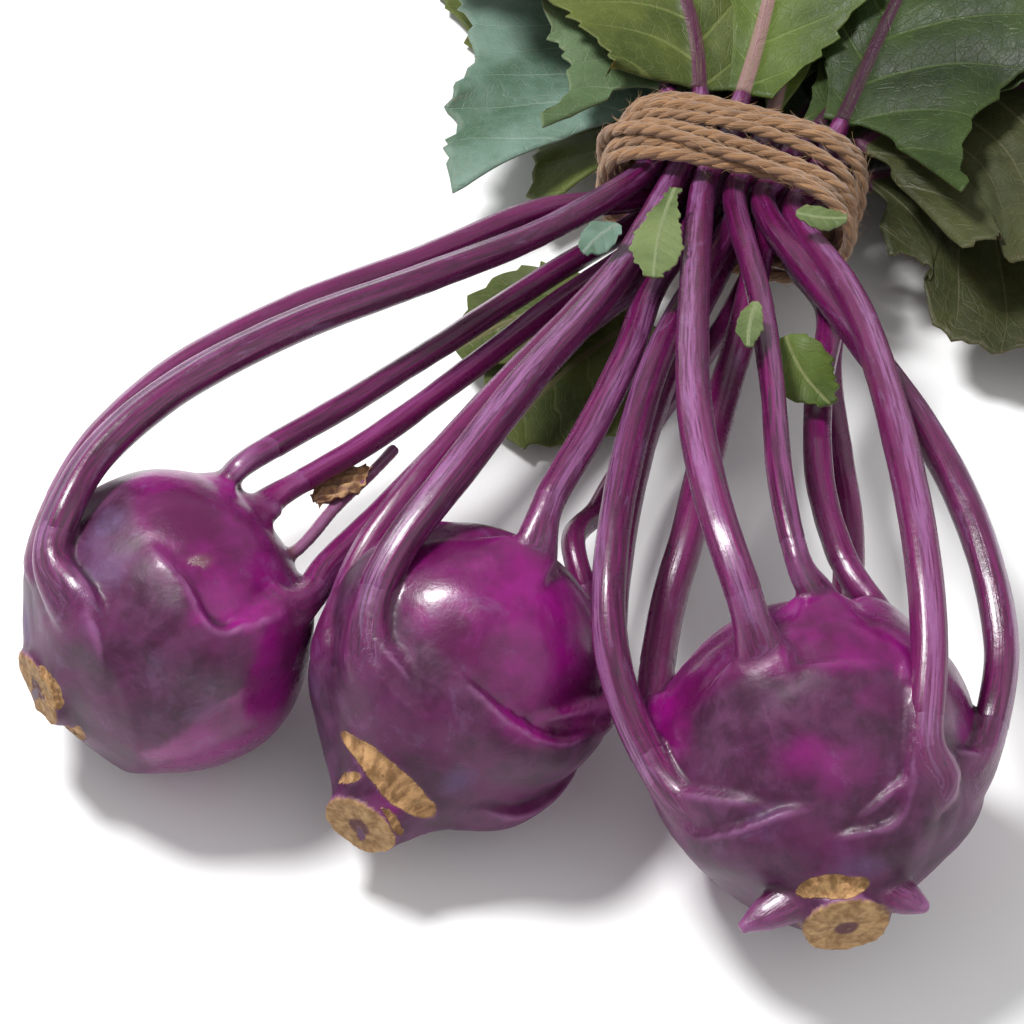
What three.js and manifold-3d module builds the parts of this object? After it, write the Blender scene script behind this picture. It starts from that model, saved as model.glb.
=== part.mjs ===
// A tied bunch of three purple kohlrabi lying on a surface: bulbs toward -Y, leaves toward +Y.
// Millimetres, +Z up, origin at the centre of the small flat spot under the middle bulb.
import * as THREE from 'three';
import Module from 'manifold-3d';

const wasm = await Module();
wasm.setup();

const V = (x, y, z) => new THREE.Vector3(x, y, z);
const rad = (degrees) => (degrees * Math.PI) / 180;
const mix = (a, b, t) => a + (b - a) * t;
const clamp = (x, low, high) => Math.min(high, Math.max(low, x));
const ease = (x, low, high) => {
  const t = clamp((x - low) / (high - low), 0, 1);
  return t * t * (3 - 2 * t);
};

// Driving dimensions of the bulbs
const BULBS = {
  left: { centre: V(-71, 15, 36.4), radius: 37, azimuth: 58, rootLength: 0.45, rootShift: V(0, 0, -2), lumps: 0.4 },
  middle: { centre: V(0, 2, 35.4), radius: 36, azimuth: 26, rootLength: 0.78, rootShift: V(-5, 0, -11), lumps: 2.1 },
  right: { centre: V(83, -26, 37.9), radius: 38.5, azimuth: -6, rootLength: 0.75, rootShift: V(0, 0, -4), lumps: 4 },
};
const ROOT_STARTS = -0.64;
const LUMP_HEIGHT = 1.3;
// Radius and height of the outline in bulb radii, from the crown to the cut root
const OUTLINE = [
  [0, 0.86], [0.35, 0.84], [0.7, 0.66], [0.94, 0.33], [1, 0], [0.93, -0.32],
  [0.76, -0.64], [0.54, -0.92], [0.36, -1.12], [0.28, -1.24], [0.26, -1.36],
];
const BULB_RINGS = 18;
const BULB_SIDES = 26;
// The skin is raised below each leaf base: height at the base, and how far it runs toward the root and the crown
const SHELF_HEIGHT = 3.6;
const SHELF_DOWN = 20;
const SHELF_UP = 3;

// The tie: a flattened ring round three rows of six stalks
const TIE_CENTRE = V(71, 164, 36);
const TIE_AZIMUTH = 20;
const TIE_HALF_WIDTH = 32.5;
const TIE_HALF_HEIGHT = 17.6;
const TIE_SQUARENESS = 3;
const BAND_HALF = 13;
const COLUMN_PITCH = 8.9;
const ROW_PITCH = 8.2;
const ROWS = { bottom: 0, middle: 1, top: 2 };
const COLUMNS = 6;

const TWINE_RADIUS = 1.85;
const TWINE_PITCH = 4.1;
const TWINE_TURNS = 6;
const TWINE_OVER_TURNS = 0.93;
const TWINE_SIDES = 6;
const TWINE_STEPS = 22;

// Leaf stalks
const STALK_RADIUS_IN_TIE = 3.2;
const STALK_RADIUS_AT_BLADE = 2.4;
const STALK_SIDES = 7;
const STALK_SAMPLES = 44;
const STALK_CLEARANCE = 0.9;
const STALK_END = 10;
const TURN_BEFORE_BLADE = 0.4;
const SETTLE_PASSES = 80;
// Where the sections of a stalk stand along its length: close at the flared base and at the tie
const SECTION_PLACES = [0, 0.025, 0.05, 0.08, 0.12, 0.17, 0.24, 0.33, 0.44, 0.56, 0.68, 0.78, 0.85, 0.9, 0.95, 1];

// Leaf blades
const BLADE_THICKNESS = 0.9;
const BLADE_GAP = 0.7;
const BLADE_ROWS = 13;
const RUFFLE = 0.33;
const LEAF_AZIMUTHS = {
  bottom: [-22, -8, 14, 40, 70, 124],
  middle: [-14, -2, 20, 45, 74, 96],
  top: [-34, -30, 12, 6, 62, 28],
};
// Which layer of the mound each leaf is in, the lowest first
const LAYERS = {
  bottom: [0, 1, 2, 0, 1, 2],
  middle: [3, 4, 5, 3, 4, 5],
  top: [6, 7, 8, 6, 6, 7],
};
// Leaves of another size than the rest, as row, column, length and half width
const YOUNG_LEAVES = [['top', 3, 84, 14]];

// Each stalk: bulb, start of its ridge and place where it lifts off as [crown 0 to root 1, angle round the bulb],
// half width of its flared base, radius, points passed on the way to the tie, and its row and column in the tie
const stalk = (name, bulb, ridge, base, flare, radius, row, column, via) => ({
  name, bulb, ridge, base, flare, radius, row, column, via: via.map((p) => V(...p)),
});
const STALKS = [
  stalk('La', 'left', [0.66, 44], [0.62, 10], 8, 4.4, 'top', 0,
    [[-96, 10, 66], [-93, 22, 71], [-85, 38, 74], [-68, 56, 76], [-42, 75, 76], [-11, 97, 70], [19, 125, 58]]),
  stalk('Lb', 'left', [0.62, 4], [0.6, -30], 6.5, 3.5, 'middle', 0,
    [[-97, 32, 60], [-88, 50, 64], [-70, 72, 65], [-43, 93, 64], [-11, 115, 59], [19, 140, 51]]),
  stalk('Lc', 'left', [0.24, -33], [0.2, -32], 5.5, 3.2, 'bottom', 0,
    [[-51, 45, 62], [-29, 67, 57], [-4, 96, 49], [19, 125, 40]]),
  stalk('Ld', 'left', [0.19, -12], [0.15, -12], 5.5, 3.1, 'bottom', 1,
    [[-45, 40, 54], [-23, 61, 50], [-1, 89, 43], [25, 122, 36]]),
  stalk('Le', 'left', [0.42, 50], [0.24, 56], 7, 3.9, 'bottom', 2,
    [[-34, 18, 47], [-22, 38, 43], [-6, 62, 42], [14, 92, 40]]),
  stalk('Ma', 'middle', [0.68, 14], [0.6, -22], 8.5, 4.5, 'top', 1,
    [[-20, -2, 66], [-14, 10, 72], [-1, 29, 76], [16, 60, 74], [37, 103, 62]]),
  stalk('Mb', 'middle', [0.68, -34], [0.57, -54], 7, 3.7, 'middle', 1,
    [[-28, 9, 52], [-21, 23, 58], [-8, 42, 62], [12, 73, 60], [35, 114, 50]]),
  stalk('Mc', 'middle', [0.36, 24], [0.27, 20], 7, 3.9, 'middle', 2,
    [[21, 25, 70], [31, 47, 70], [41, 79, 62], [48, 111, 52]]),
  stalk('Md', 'middle', [0.58, 62], [0.42, 84], 7, 3.9, 'bottom', 3,
    [[35, -4, 38], [37, 23, 42], [42, 57, 40], [52, 101, 30]]),
  stalk('Me', 'middle', [0.28, 98], [0.2, 96], 5, 3, 'bottom', 4,
    [[27, 36, 40], [34, 57, 30], [48, 91, 24], [67, 123, 24]]),
  stalk('Ra', 'right', [0.68, -34], [0.55, -74], 8, 4.1, 'middle', 3,
    [[41, -30, 52], [35, -13, 62], [35, 8, 68], [40, 43, 68], [50, 84, 62]]),
  stalk('Rb', 'right', [0.4, -92], [0.3, -84], 7, 4.4, 'middle', 4,
    [[49, 14, 42], [55, 36, 46], [62, 68, 46], [71, 106, 42]]),
  stalk('Rc', 'right', [0.5, -14], [0.38, -21], 8, 4.3, 'top', 2,
    [[64, -15, 86], [58, 8, 90], [55, 44, 84], [57, 90, 70]]),
  stalk('Rd', 'right', [0.32, 4], [0.24, 4], 6, 3.1, 'top', 3,
    [[78, 2, 76], [75, 25, 78], [75, 61, 72], [74, 103, 60]]),
  stalk('Re', 'right', [0.74, 8], [0.6, 46], 8, 4.3, 'top', 5,
    [[105, -42, 66], [107, -20, 74], [106, 12, 78], [103, 55, 72], [98, 99, 60]]),
  stalk('Rf', 'right', [0.72, 46], [0.55, 68], 8, 4.2, 'top', 4,
    [[123, -25, 50], [126, -7, 58], [122, 23, 62], [112, 59, 60], [95, 102, 54]]),
  stalk('Rg', 'right', [0.2, 150], [0.14, 140], 6, 3.8, 'bottom', 5,
    [[95, 41, 36], [94, 67, 36], [93, 97, 33], [95, 124, 30]]),
  stalk('Rh', 'right', [0.22, 66], [0.17, 52], 6, 3.6, 'middle', 5,
    [[91, 18, 56], [87, 45, 54], [89, 80, 48], [94, 114, 41]]),
];

// Meshes and solids

function meshFrom(points, faces) {
  const geometry = new THREE.BufferGeometry();
  const array = new Float32Array(points.length * 3);
  points.forEach((p, i) => p.toArray(array, i * 3));
  geometry.setAttribute('position', new THREE.BufferAttribute(array, 3));
  geometry.setIndex(faces.flat());
  return geometry;
}

function toSolid(geometry) {
  const vertProperties = new Float32Array(geometry.attributes.position.array);
  const triVerts = new Uint32Array(geometry.index.array);
  return new wasm.Manifold(new wasm.Mesh({ numProp: 3, vertProperties, triVerts }));
}

function toGeometry(solid) {
  const { vertProperties, triVerts, numProp } = solid.getMesh();
  const points = [];
  for (let i = 0; i < vertProperties.length; i += numProp) {
    points.push(V(vertProperties[i], vertProperties[i + 1], vertProperties[i + 2]));
  }
  const faces = [];
  for (let i = 0; i < triVerts.length; i += 3) {
    faces.push([triVerts[i], triVerts[i + 1], triVerts[i + 2]]);
  }
  return meshFrom(points, faces);
}

// A closed tube through rings of points, each ring with the same count
function tube(rings) {
  const sides = rings[0].length;
  const points = rings.flat();
  const faces = [];
  for (let i = 0; i < rings.length - 1; i += 1) {
    for (let j = 0; j < sides; j += 1) {
      const a = i * sides + j;
      const b = i * sides + ((j + 1) % sides);
      faces.push([a, b, b + sides], [a, b + sides, a + sides]);
    }
  }
  const last = (rings.length - 1) * sides;
  for (let j = 1; j < sides - 1; j += 1) {
    faces.push([0, j + 1, j], [last, last + j, last + j + 1]);
  }
  return meshFrom(points, faces);
}

// Rings round a path: half width and half thickness along two directions carried along it without twist
function ringsRound(path, startNormal, sides, size) {
  const normal = startNormal.clone();
  return path.map((p, i) => {
    const before = path[Math.max(0, i - 1)];
    const after = path[Math.min(path.length - 1, i + 1)];
    const tangent = after.clone().sub(before).normalize();
    normal.addScaledVector(tangent, -normal.dot(tangent)).normalize();
    const side = tangent.clone().cross(normal);
    const { width, thickness } = size(i);
    const ring = [];
    for (let j = 0; j < sides; j += 1) {
      const angle = (2 * Math.PI * j) / sides;
      ring.push(
        p.clone()
          .addScaledVector(side, width * Math.cos(angle))
          .addScaledVector(normal, -thickness * Math.sin(angle)),
      );
    }
    return ring;
  });
}

// Bulbs

const outlineCurve = new THREE.CatmullRomCurve3(OUTLINE.map(([r, h]) => V(r, h, 0)), false, 'catmullrom', 0.5);

function bulbFrame(bulb) {
  const azimuth = rad(bulb.azimuth);
  return {
    axis: V(Math.sin(azimuth), Math.cos(azimuth), 0),
    side: V(Math.cos(azimuth), -Math.sin(azimuth), 0),
    up: V(0, 0, 1),
  };
}

// A point on the bulb: t from crown 0 to root 1, phi in degrees from the top toward the side
function onBulb(bulb, t, phi, out = 0) {
  const { axis, side, up } = bulbFrame(bulb);
  const a = rad(phi);
  const radial = up.multiplyScalar(Math.cos(a)).addScaledVector(side, Math.sin(a));
  const p = outlineCurve.getPoint(clamp(t, 0, 1));
  const q = outlineCurve.getTangent(clamp(t, 0.001, 0.999));
  const normal = radial.clone().multiplyScalar(-q.y).addScaledVector(axis, q.x).normalize();
  const height = p.y > ROOT_STARTS ? p.y : ROOT_STARTS + (p.y - ROOT_STARTS) * bulb.rootLength;
  const lump = LUMP_HEIGHT * Math.sin(3 * a + bulb.lumps) * ease(t, 0.46, 0.72) * (1 - ease(t, 0.85, 1));
  const point = bulb.centre.clone()
    .addScaledVector(radial, p.x * bulb.radius + lump)
    .addScaledVector(axis, height * bulb.radius)
    .addScaledVector(bulb.rootShift, ease(t, 0.45, 1))
    .addScaledVector(normal, out);
  return { point, normal };
}

// How far the skin is raised at a point by the leaf bases above it
function shelfHeight(name, t, phi) {
  const bulb = BULBS[name];
  const { point } = onBulb(bulb, t, phi);
  let height = 0;
  for (const s of STALKS.filter((one) => one.bulb === name)) {
    let nearest = Infinity;
    let raised = 0;
    for (let k = 0; k <= 8; k += 1) {
      const part = k / 8;
      const place = [mix(s.ridge[0], s.base[0], part), mix(s.ridge[1], s.base[1], part)];
      const on = onBulb(bulb, ...place).point;
      const down = onBulb(bulb, place[0] + 0.01, place[1]).point.sub(on).normalize();
      const away = point.clone().sub(on);
      const distance = away.length();
      if (distance < nearest) {
        nearest = distance;
        const beyond = distance - 0.6 * s.flare * mix(0.6, 1, part);
        const run = mix(SHELF_UP, SHELF_DOWN, ease(away.dot(down) / (distance + 1e-6), -0.3, 0.5));
        raised = ((SHELF_HEIGHT * s.flare) / 8) * ease(part, -0.3, 1) * (1 - ease(beyond, 0, run));
      }
    }
    height = Math.max(height, raised);
  }
  const under = Math.abs(((phi % 360) + 540) % 360 - 180);
  return height * (1 - ease(under, 120, 155));
}

function bulbBody(name) {
  const rings = [];
  for (let i = 0; i <= BULB_RINGS; i += 1) {
    const t = mix(0.012, 1, i / BULB_RINGS);
    const ring = [];
    for (let j = 0; j < BULB_SIDES; j += 1) {
      const phi = (-360 * j) / BULB_SIDES;
      ring.push(onBulb(BULBS[name], t, phi, shelfHeight(name, t, phi)).point);
    }
    rings.push(ring);
  }
  return toSolid(tube(rings));
}

// The tie and the leaves share one height field, so that layers of leaves never cross

const tieAlong = V(Math.sin(rad(TIE_AZIMUTH)), Math.cos(rad(TIE_AZIMUTH)), 0);
const tieAcross = V(Math.cos(rad(TIE_AZIMUTH)), -Math.sin(rad(TIE_AZIMUTH)), 0);

function slot(row, column, along) {
  return TIE_CENTRE.clone()
    .addScaledVector(tieAcross, (column - (COLUMNS - 1) / 2) * COLUMN_PITCH)
    .addScaledVector(tieAlong, along)
    .add(V(0, 0, (ROWS[row] - 1) * ROW_PITCH));
}


// Height of a layer above the surface: rows of the tie near it, an open mound of leaves farther out
function layerHeight(layer, x, y) {
  const away = Math.hypot(x - TIE_CENTRE.x, y - TIE_CENTRE.y);
  const low = mix(25.1, 1.3, ease(away, 16, 100));
  const gap = mix(ROW_PITCH / 3, 9.4, ease(away, 16, 105)) - 2.4 * ease(away, 125, 200);
  return { low, gap, height: low + layer * gap };
}

const bladeDirection = (azimuth) => V(Math.sin(rad(azimuth)), Math.cos(rad(azimuth)), 0);

// Leaf stalks

function stalkRoute(s) {
  const bulb = BULBS[s.bulb];
  const middle = [mix(s.ridge[0], s.base[0], 0.5), mix(s.ridge[1], s.base[1], 0.5)];
  const azimuth = LEAF_AZIMUTHS[s.row][s.column];
  const end = slot(s.row, s.column, BAND_HALF)
    .addScaledVector(bladeDirection(mix(TIE_AZIMUTH, azimuth, TURN_BEFORE_BLADE)), STALK_END);
  end.z = layerHeight(LAYERS[s.row][s.column], end.x, end.y).height;
  return [
    onBulb(bulb, ...s.ridge, -7).point,
    onBulb(bulb, ...middle, -2.2).point,
    onBulb(bulb, ...s.base, 1.2).point,
    ...s.via,
    slot(s.row, s.column, -BAND_HALF),
    slot(s.row, s.column, 0),
    slot(s.row, s.column, BAND_HALF),
    end,
  ];
}

// Radius at sample i, narrowing toward the tie and again toward the blade
function stalkRadius(s, i) {
  const part = i / (STALK_SAMPLES - 1);
  const round = mix(s.radius, STALK_RADIUS_IN_TIE, clamp((part - 0.5) / 0.3, 0, 1));
  return mix(round, STALK_RADIUS_AT_BLADE, ease(part, 0.93, 1));
}

// How far each sample may move while the stalks settle: none at the bulb or beyond the tie
function stalkFreedom(points) {
  const first = Math.floor((STALK_SAMPLES * 3) / (points - 1));
  const last = Math.floor((STALK_SAMPLES * (points - 2.2)) / (points - 1));
  return Array.from({ length: STALK_SAMPLES }, (_, i) => {
    if (i < first || i > last) return 0;
    return Math.min(1, (i - first + 1) / 4) * Math.min(1, (last - i + 1) / 3);
  });
}

// Pushes apart the samples of two stalks that come closer than their radii and the clearance
function pushApart(a, b) {
  const sameBulb = a.bulb === b.bulb;
  const pushA = a.path.map(() => ({ move: V(0, 0, 0), count: 0 }));
  const pushB = b.path.map(() => ({ move: V(0, 0, 0), count: 0 }));
  for (let i = sameBulb ? 10 : 0; i < STALK_SAMPLES; i += 1) {
    for (let j = sameBulb ? 10 : 0; j < STALK_SAMPLES; j += 1) {
      const away = a.path[i].clone().sub(b.path[j]);
      const distance = away.length() + 1e-9;
      const short = stalkRadius(a, i) + stalkRadius(b, j) + STALK_CLEARANCE - distance;
      if (short > 0) {
        away.multiplyScalar((0.5 * short) / distance);
        pushA[i].move.add(away);
        pushA[i].count += 1;
        pushB[j].move.sub(away);
        pushB[j].count += 1;
      }
    }
  }
  const share = ({ move, count }) => move.multiplyScalar(1 / Math.max(1, count));
  a.push.forEach((p, i) => p.add(share(pushA[i])));
  b.push.forEach((p, i) => p.add(share(pushB[i])));
}

function keepOffBulbs(s) {
  for (const [name, bulb] of Object.entries(BULBS)) {
    if (name !== s.bulb) {
      s.path.forEach((p, i) => {
        const away = p.clone().sub(bulb.centre);
        const short = bulb.radius + stalkRadius(s, i) + 1 - away.length();
        if (short > 0) s.push[i].add(away.setLength(short));
      });
    }
  }
}

// Keeps the stalks within the ring of twine
function keepInTie(s) {
  s.path.forEach((p, i) => {
    const from = p.clone().sub(TIE_CENTRE);
    if (Math.abs(from.dot(tieAlong)) > BAND_HALF + 3) return;
    const room = TWINE_RADIUS + stalkRadius(s, i) + 0.5;
    const across = from.dot(tieAcross) / (TIE_HALF_WIDTH - room);
    const up = from.z / (TIE_HALF_HEIGHT - room);
    const reach = (Math.abs(across) ** TIE_SQUARENESS + Math.abs(up) ** TIE_SQUARENESS) ** (1 / TIE_SQUARENESS);
    if (reach > 1) {
      const back = 1 / reach - 1;
      s.push[i].addScaledVector(tieAcross, back * from.dot(tieAcross)).add(V(0, 0, back * from.z));
    }
  });
}

function settleStalks() {
  const settled = STALKS.map((s) => {
    const route = stalkRoute(s);
    const curve = new THREE.CatmullRomCurve3(route, false, 'catmullrom', 0.5);
    const start = curve.getPoints(STALK_SAMPLES - 1);
    const moved = start.map(() => V(0, 0, 0));
    return { ...s, start, moved, path: start, freedom: stalkFreedom(route.length) };
  });
  for (let pass = 0; pass < SETTLE_PASSES; pass += 1) {
    for (const s of settled) {
      s.path = s.start.map((p, i) => p.clone().add(s.moved[i]));
      s.push = s.start.map(() => V(0, 0, 0));
    }
    settled.forEach((a, i) => settled.slice(i + 1).forEach((b) => pushApart(a, b)));
    for (const s of settled) {
      keepOffBulbs(s);
      keepInTie(s);
      const moved = s.moved.map((m, i) => m.clone().addScaledVector(s.push[i], s.freedom[i]));
      s.moved = moved.map((m, i) => {
        if (s.freedom[i] === 0) return V(0, 0, 0);
        const beside = moved[i - 1].clone().add(moved[i + 1]);
        return m.clone().multiplyScalar(0.5).addScaledVector(beside, 0.25);
      });
    }
  }
  return settled;
}

// Sections at their places along a polyline, and where each lies among its samples
function sectionsOf(path) {
  const length = [0];
  for (let i = 1; i < path.length; i += 1) length.push(length[i - 1] + path[i].distanceTo(path[i - 1]));
  const total = length[length.length - 1];
  let i = 0;
  return SECTION_PLACES.map((place) => {
    const want = total * place;
    while (i < path.length - 2 && length[i + 1] < want) i += 1;
    const t = clamp((want - length[i]) / (length[i + 1] - length[i]), 0, 1);
    return { point: path[i].clone().lerp(path[i + 1], t), sample: i + t, along: want };
  });
}

function stalkBody(s) {
  const sections = sectionsOf(s.path);
  const lift = s.path.slice(0, 9).reduce((sum, p, i, all) => (i ? sum + p.distanceTo(all[i - 1]) : 0), 0);
  const size = (i) => {
    const { sample, along } = sections[i];
    const round = stalkRadius(s, sample);
    const flare = 1 - ease(along, lift * 0.5, lift + 14);
    const width = mix(round, s.flare, flare) * mix(0.6, 1, ease(along, 0, lift));
    const thickness = mix(round, round * 0.8, flare) * mix(0.45, 1, ease(along, 0, lift));
    return { width, thickness };
  };
  const { normal } = onBulb(BULBS[s.bulb], ...s.ridge);
  return toSolid(tube(ringsRound(sections.map((p) => p.point), normal, STALK_SIDES, size)));
}

function plant(bulbName, settled) {
  let body = bulbBody(bulbName);
  for (const s of settled.filter((one) => one.bulb === bulbName)) {
    body = body.add(stalkBody(s));
  }
  if (bulbName === 'left') body = body.add(witheredStalk());
  if (bulbName === 'right') {
    for (const spur of rootSpurs()) body = body.add(spur);
  }
  // The flat spot on which the bulb rests
  return body.trimByPlane([0, 0, 1], 0);
}

// A thin stalk that has dried up and ends short of the tie
function witheredStalk() {
  const curve = new THREE.CatmullRomCurve3([
    onBulb(BULBS.left, 0.24, 24, -5).point, V(-41, 25, 50), V(-31, 43, 46.5), V(-23, 55, 44.5), V(-17, 65, 43),
  ]);
  const path = curve.getPoints(9);
  return toSolid(tube(ringsRound(path, V(0, 0, 1), 6, () => ({ width: 1.7, thickness: 1.5 }))));
}

// Two short pointed stumps of lower roots beside the cut root end
function rootSpurs() {
  const bulb = BULBS.right;
  const spur = (t, phi, outward, width) => {
    const { point, normal } = onBulb(bulb, t, phi);
    const from = point.clone().addScaledVector(normal, -5);
    const to = point.clone().add(outward);
    const path = [0, 0.5, 1].map((k) => from.clone().lerp(to, k));
    const size = (i) => ({ width: mix(width, 1.6, i / 2), thickness: mix(4.5, 1.2, i / 2) });
    return toSolid(tube(ringsRound(path, V(0, 0, 1), 6, size)));
  };
  return [
    spur(0.84, -70, V(-13, -6, -3), 7),
    spur(0.86, 60, V(8, -5, -1), 7),
  ];
}

// Leaf blades

// Half width of each side of a blade from its base 0 to its tip 1. An open side has a lobe that sweeps back outside
// the bunch, an over side a small lobe that sweeps back over the stalks beside it, a close side has none.
const OUTER_HALF = [[0.55, 0.97], [0.75, 0.8], [0.9, 0.48], [1, 0.06]];
const SIDES = {
  open: { sweep: 22, lift: 0, width: [[0, 0.85], [0.08, 0.8], [0.2, 0.74], [0.35, 0.72], ...OUTER_HALF] },
  openDeep: {
    sweep: 36,
    lift: 0,
    width: [[0, 1.2], [0.06, 1.55], [0.13, 1.2], [0.2, 1.25], [0.28, 1.4], [0.4, 1.15], ...OUTER_HALF],
  },
  openRound: { sweep: 27, lift: 0, width: [[0, 0.85], [0.08, 0.8], [0.2, 0.9], [0.35, 0.95], ...OUTER_HALF] },
  openBroad: {
    sweep: 10,
    lift: 0,
    width: [[0, 0.95], [0.08, 1.1], [0.2, 1.25], [0.35, 1.3], [0.55, 1.15], [0.75, 0.85], [0.9, 0.48], [1, 0.06]],
  },
  openLate: {
    sweep: 8,
    lift: 0,
    width: [[0, 0.7], [0.08, 0.8], [0.2, 1.05], [0.35, 1.3], [0.55, 1.2], [0.75, 0.85], [0.9, 0.48], [1, 0.06]],
  },
  over: { sweep: 9, lift: 7, width: [[0, 0.4], [0.08, 0.5], [0.2, 0.7], [0.35, 0.93], ...OUTER_HALF] },
  half: { sweep: 0, lift: 0, width: [[0, 0.15], [0.05, 0.4], [0.2, 0.65], [0.35, 0.93], ...OUTER_HALF] },
  narrow: { sweep: 0, lift: 0, width: [[0, 0.1], [0.08, 0.14], [0.2, 0.32], [0.35, 0.6], ...OUTER_HALF] },
  close: { sweep: 0, lift: 0, width: [[0, 0.1], [0.08, 0.2], [0.2, 0.55], [0.35, 0.93], ...OUTER_HALF] },
};
const LEFT_SIDES = {
  bottom: ['openRound', 'close', 'close', 'close', 'close', 'close'],
  middle: ['openDeep', 'close', 'close', 'close', 'close', 'close'],
  top: ['open', 'over', 'narrow', 'close', 'close', 'close'],
};
const RIGHT_SIDES = {
  bottom: ['close', 'close', 'close', 'close', 'close', 'openLate'],
  middle: ['close', 'close', 'close', 'close', 'close', 'openBroad'],
  top: ['close', 'half', 'half', 'close', 'close', 'openRound'],
};

function lookUp(table, x) {
  for (let i = 1; i < table.length; i += 1) {
    if (x <= table[i][0]) {
      const [x0, y0] = table[i - 1];
      const [x1, y1] = table[i];
      return mix(y0, y1, (x - x0) / (x1 - x0));
    }
  }
  return table[table.length - 1][1];
}

// Moves a point of a lobe that would meet the twine out beside it
function besideTie(point) {
  const from = point.clone().sub(TIE_CENTRE);
  const across = from.dot(tieAcross);
  const clear = TIE_HALF_WIDTH + TWINE_RADIUS * 3 + 1.5;
  const near = 1 - ease(Math.abs(from.dot(tieAlong)), BAND_HALF + 2, BAND_HALF + 10);
  const short = clear - Math.abs(across);
  if (near <= 0 || short <= 0 || Math.abs(across) < TIE_HALF_WIDTH * 0.55) return point;
  return point.addScaledVector(tieAcross, Math.sign(across) * short * near);
}

// Columns of a blade from its left margin to its right, with the midrib between two close columns
const ACROSS = [-1, -0.62, -0.07, 0, 0.07, 0.62, 1];

function bladeOf(s) {
  const layer = LAYERS[s.row][s.column];
  const number = STALKS.indexOf(s);
  const last = s.path[s.path.length - 1];
  const heading = mix(TIE_AZIMUTH, LEAF_AZIMUTHS[s.row][s.column], TURN_BEFORE_BLADE);
  const start = last.clone().addScaledVector(bladeDirection(heading), BLADE_GAP);
  const young = YOUNG_LEAVES.find(([row, column]) => row === s.row && column === s.column);
  const length = young ? young[2] : 148 + 5 * ((number * 7) % 5) - (s.row === 'bottom' ? 12 : 0);
  const halfWidth = young ? young[3] : 40 + 2.5 * ((number * 3) % 4);
  const left = SIDES[LEFT_SIDES[s.row][s.column]];
  const right = SIDES[RIGHT_SIDES[s.row][s.column]];
  const phase = number * 1.9;
  const points = [];
  const centre = start.clone();
  let travelled = 0;
  for (let i = 0; i <= BLADE_ROWS; i += 1) {
    const u = i / BLADE_ROWS;
    const azimuth = mix(heading, LEAF_AZIMUTHS[s.row][s.column], ease(u, 0, 0.35));
    const step = u * length - travelled;
    travelled = u * length;
    centre.addScaledVector(bladeDirection(azimuth), step);
    const along = bladeDirection(azimuth);
    const across = V(along.y, -along.x, 0);
    for (const v of ACROSS) {
      const side = v < 0 ? left : right;
      const lobes = 1 + 0.07 * Math.sin(u * 21 + phase + (v < 0 ? 2 : 0)) + (i % 2 ? 0.05 : -0.02);
      const reach = halfWidth * lookUp(side.width, u) * lobes;
      const sweep = side.sweep * Math.max(0, Math.abs(v) - 0.12) ** 1.3 * (1 - u) ** 2;
      const { x, y } = besideTie(centre.clone().addScaledVector(across, v * reach).addScaledVector(along, -sweep));
      const { low, gap } = layerHeight(layer, x, y);
      const away = Math.hypot(x - TIE_CENTRE.x, y - TIE_CENTRE.y);
      const wave = Math.sin(u * 15 + phase + (v < 0 ? 1.7 : 0)) * v * v + 0.35 * Math.sin(u * 5 + phase) * (1 - v * v);
      const lift = side.lift * Math.abs(v) * (1 - ease(u, 0, 0.3));
      const height = low + gap * (layer + RUFFLE * wave * ease(away, 34, 80)) + lift;
      points.push({ x, y, height, rib: v === 0 ? mix(2.3, 0.5, u) : 0 });
    }
  }
  return blade(points, BLADE_ROWS + 1, ACROSS.length);
}

// A blade from rows of points: two faces split alike, joined round the edge; its lowest points rest on the surface
function blade(points, rows, columns) {
  const half = BLADE_THICKNESS / 2;
  const under = points.map((p) => V(p.x, p.y, Math.max(0, p.height - half - 0.7 * p.rib)));
  const over = points.map((p, i) => V(p.x, p.y, Math.max(under[i].z + BLADE_THICKNESS, p.height + half + 0.5 * p.rib)));
  const count = points.length;
  const faces = [];
  const face = (a, b, c) => faces.push([a + count, b + count, c + count], [a, c, b]);
  for (let i = 0; i < rows - 1; i += 1) {
    for (let j = 0; j < columns - 1; j += 1) {
      const a = i * columns + j;
      const b = a + 1;
      const c = a + columns;
      const d = c + 1;
      face(a, b, d);
      face(a, d, c);
    }
  }
  const edge = [];
  for (let j = 0; j < columns - 1; j += 1) edge.push(j);
  for (let i = 0; i < rows - 1; i += 1) edge.push(i * columns + columns - 1);
  for (let j = columns - 1; j > 0; j -= 1) edge.push((rows - 1) * columns + j);
  for (let i = rows - 1; i > 0; i -= 1) edge.push(i * columns);
  edge.forEach((a, k) => {
    const b = edge[(k + 1) % edge.length];
    faces.push([a, b, b + count], [a, b + count, a + count]);
  });
  return meshFrom([...under, ...over], faces);
}

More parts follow.
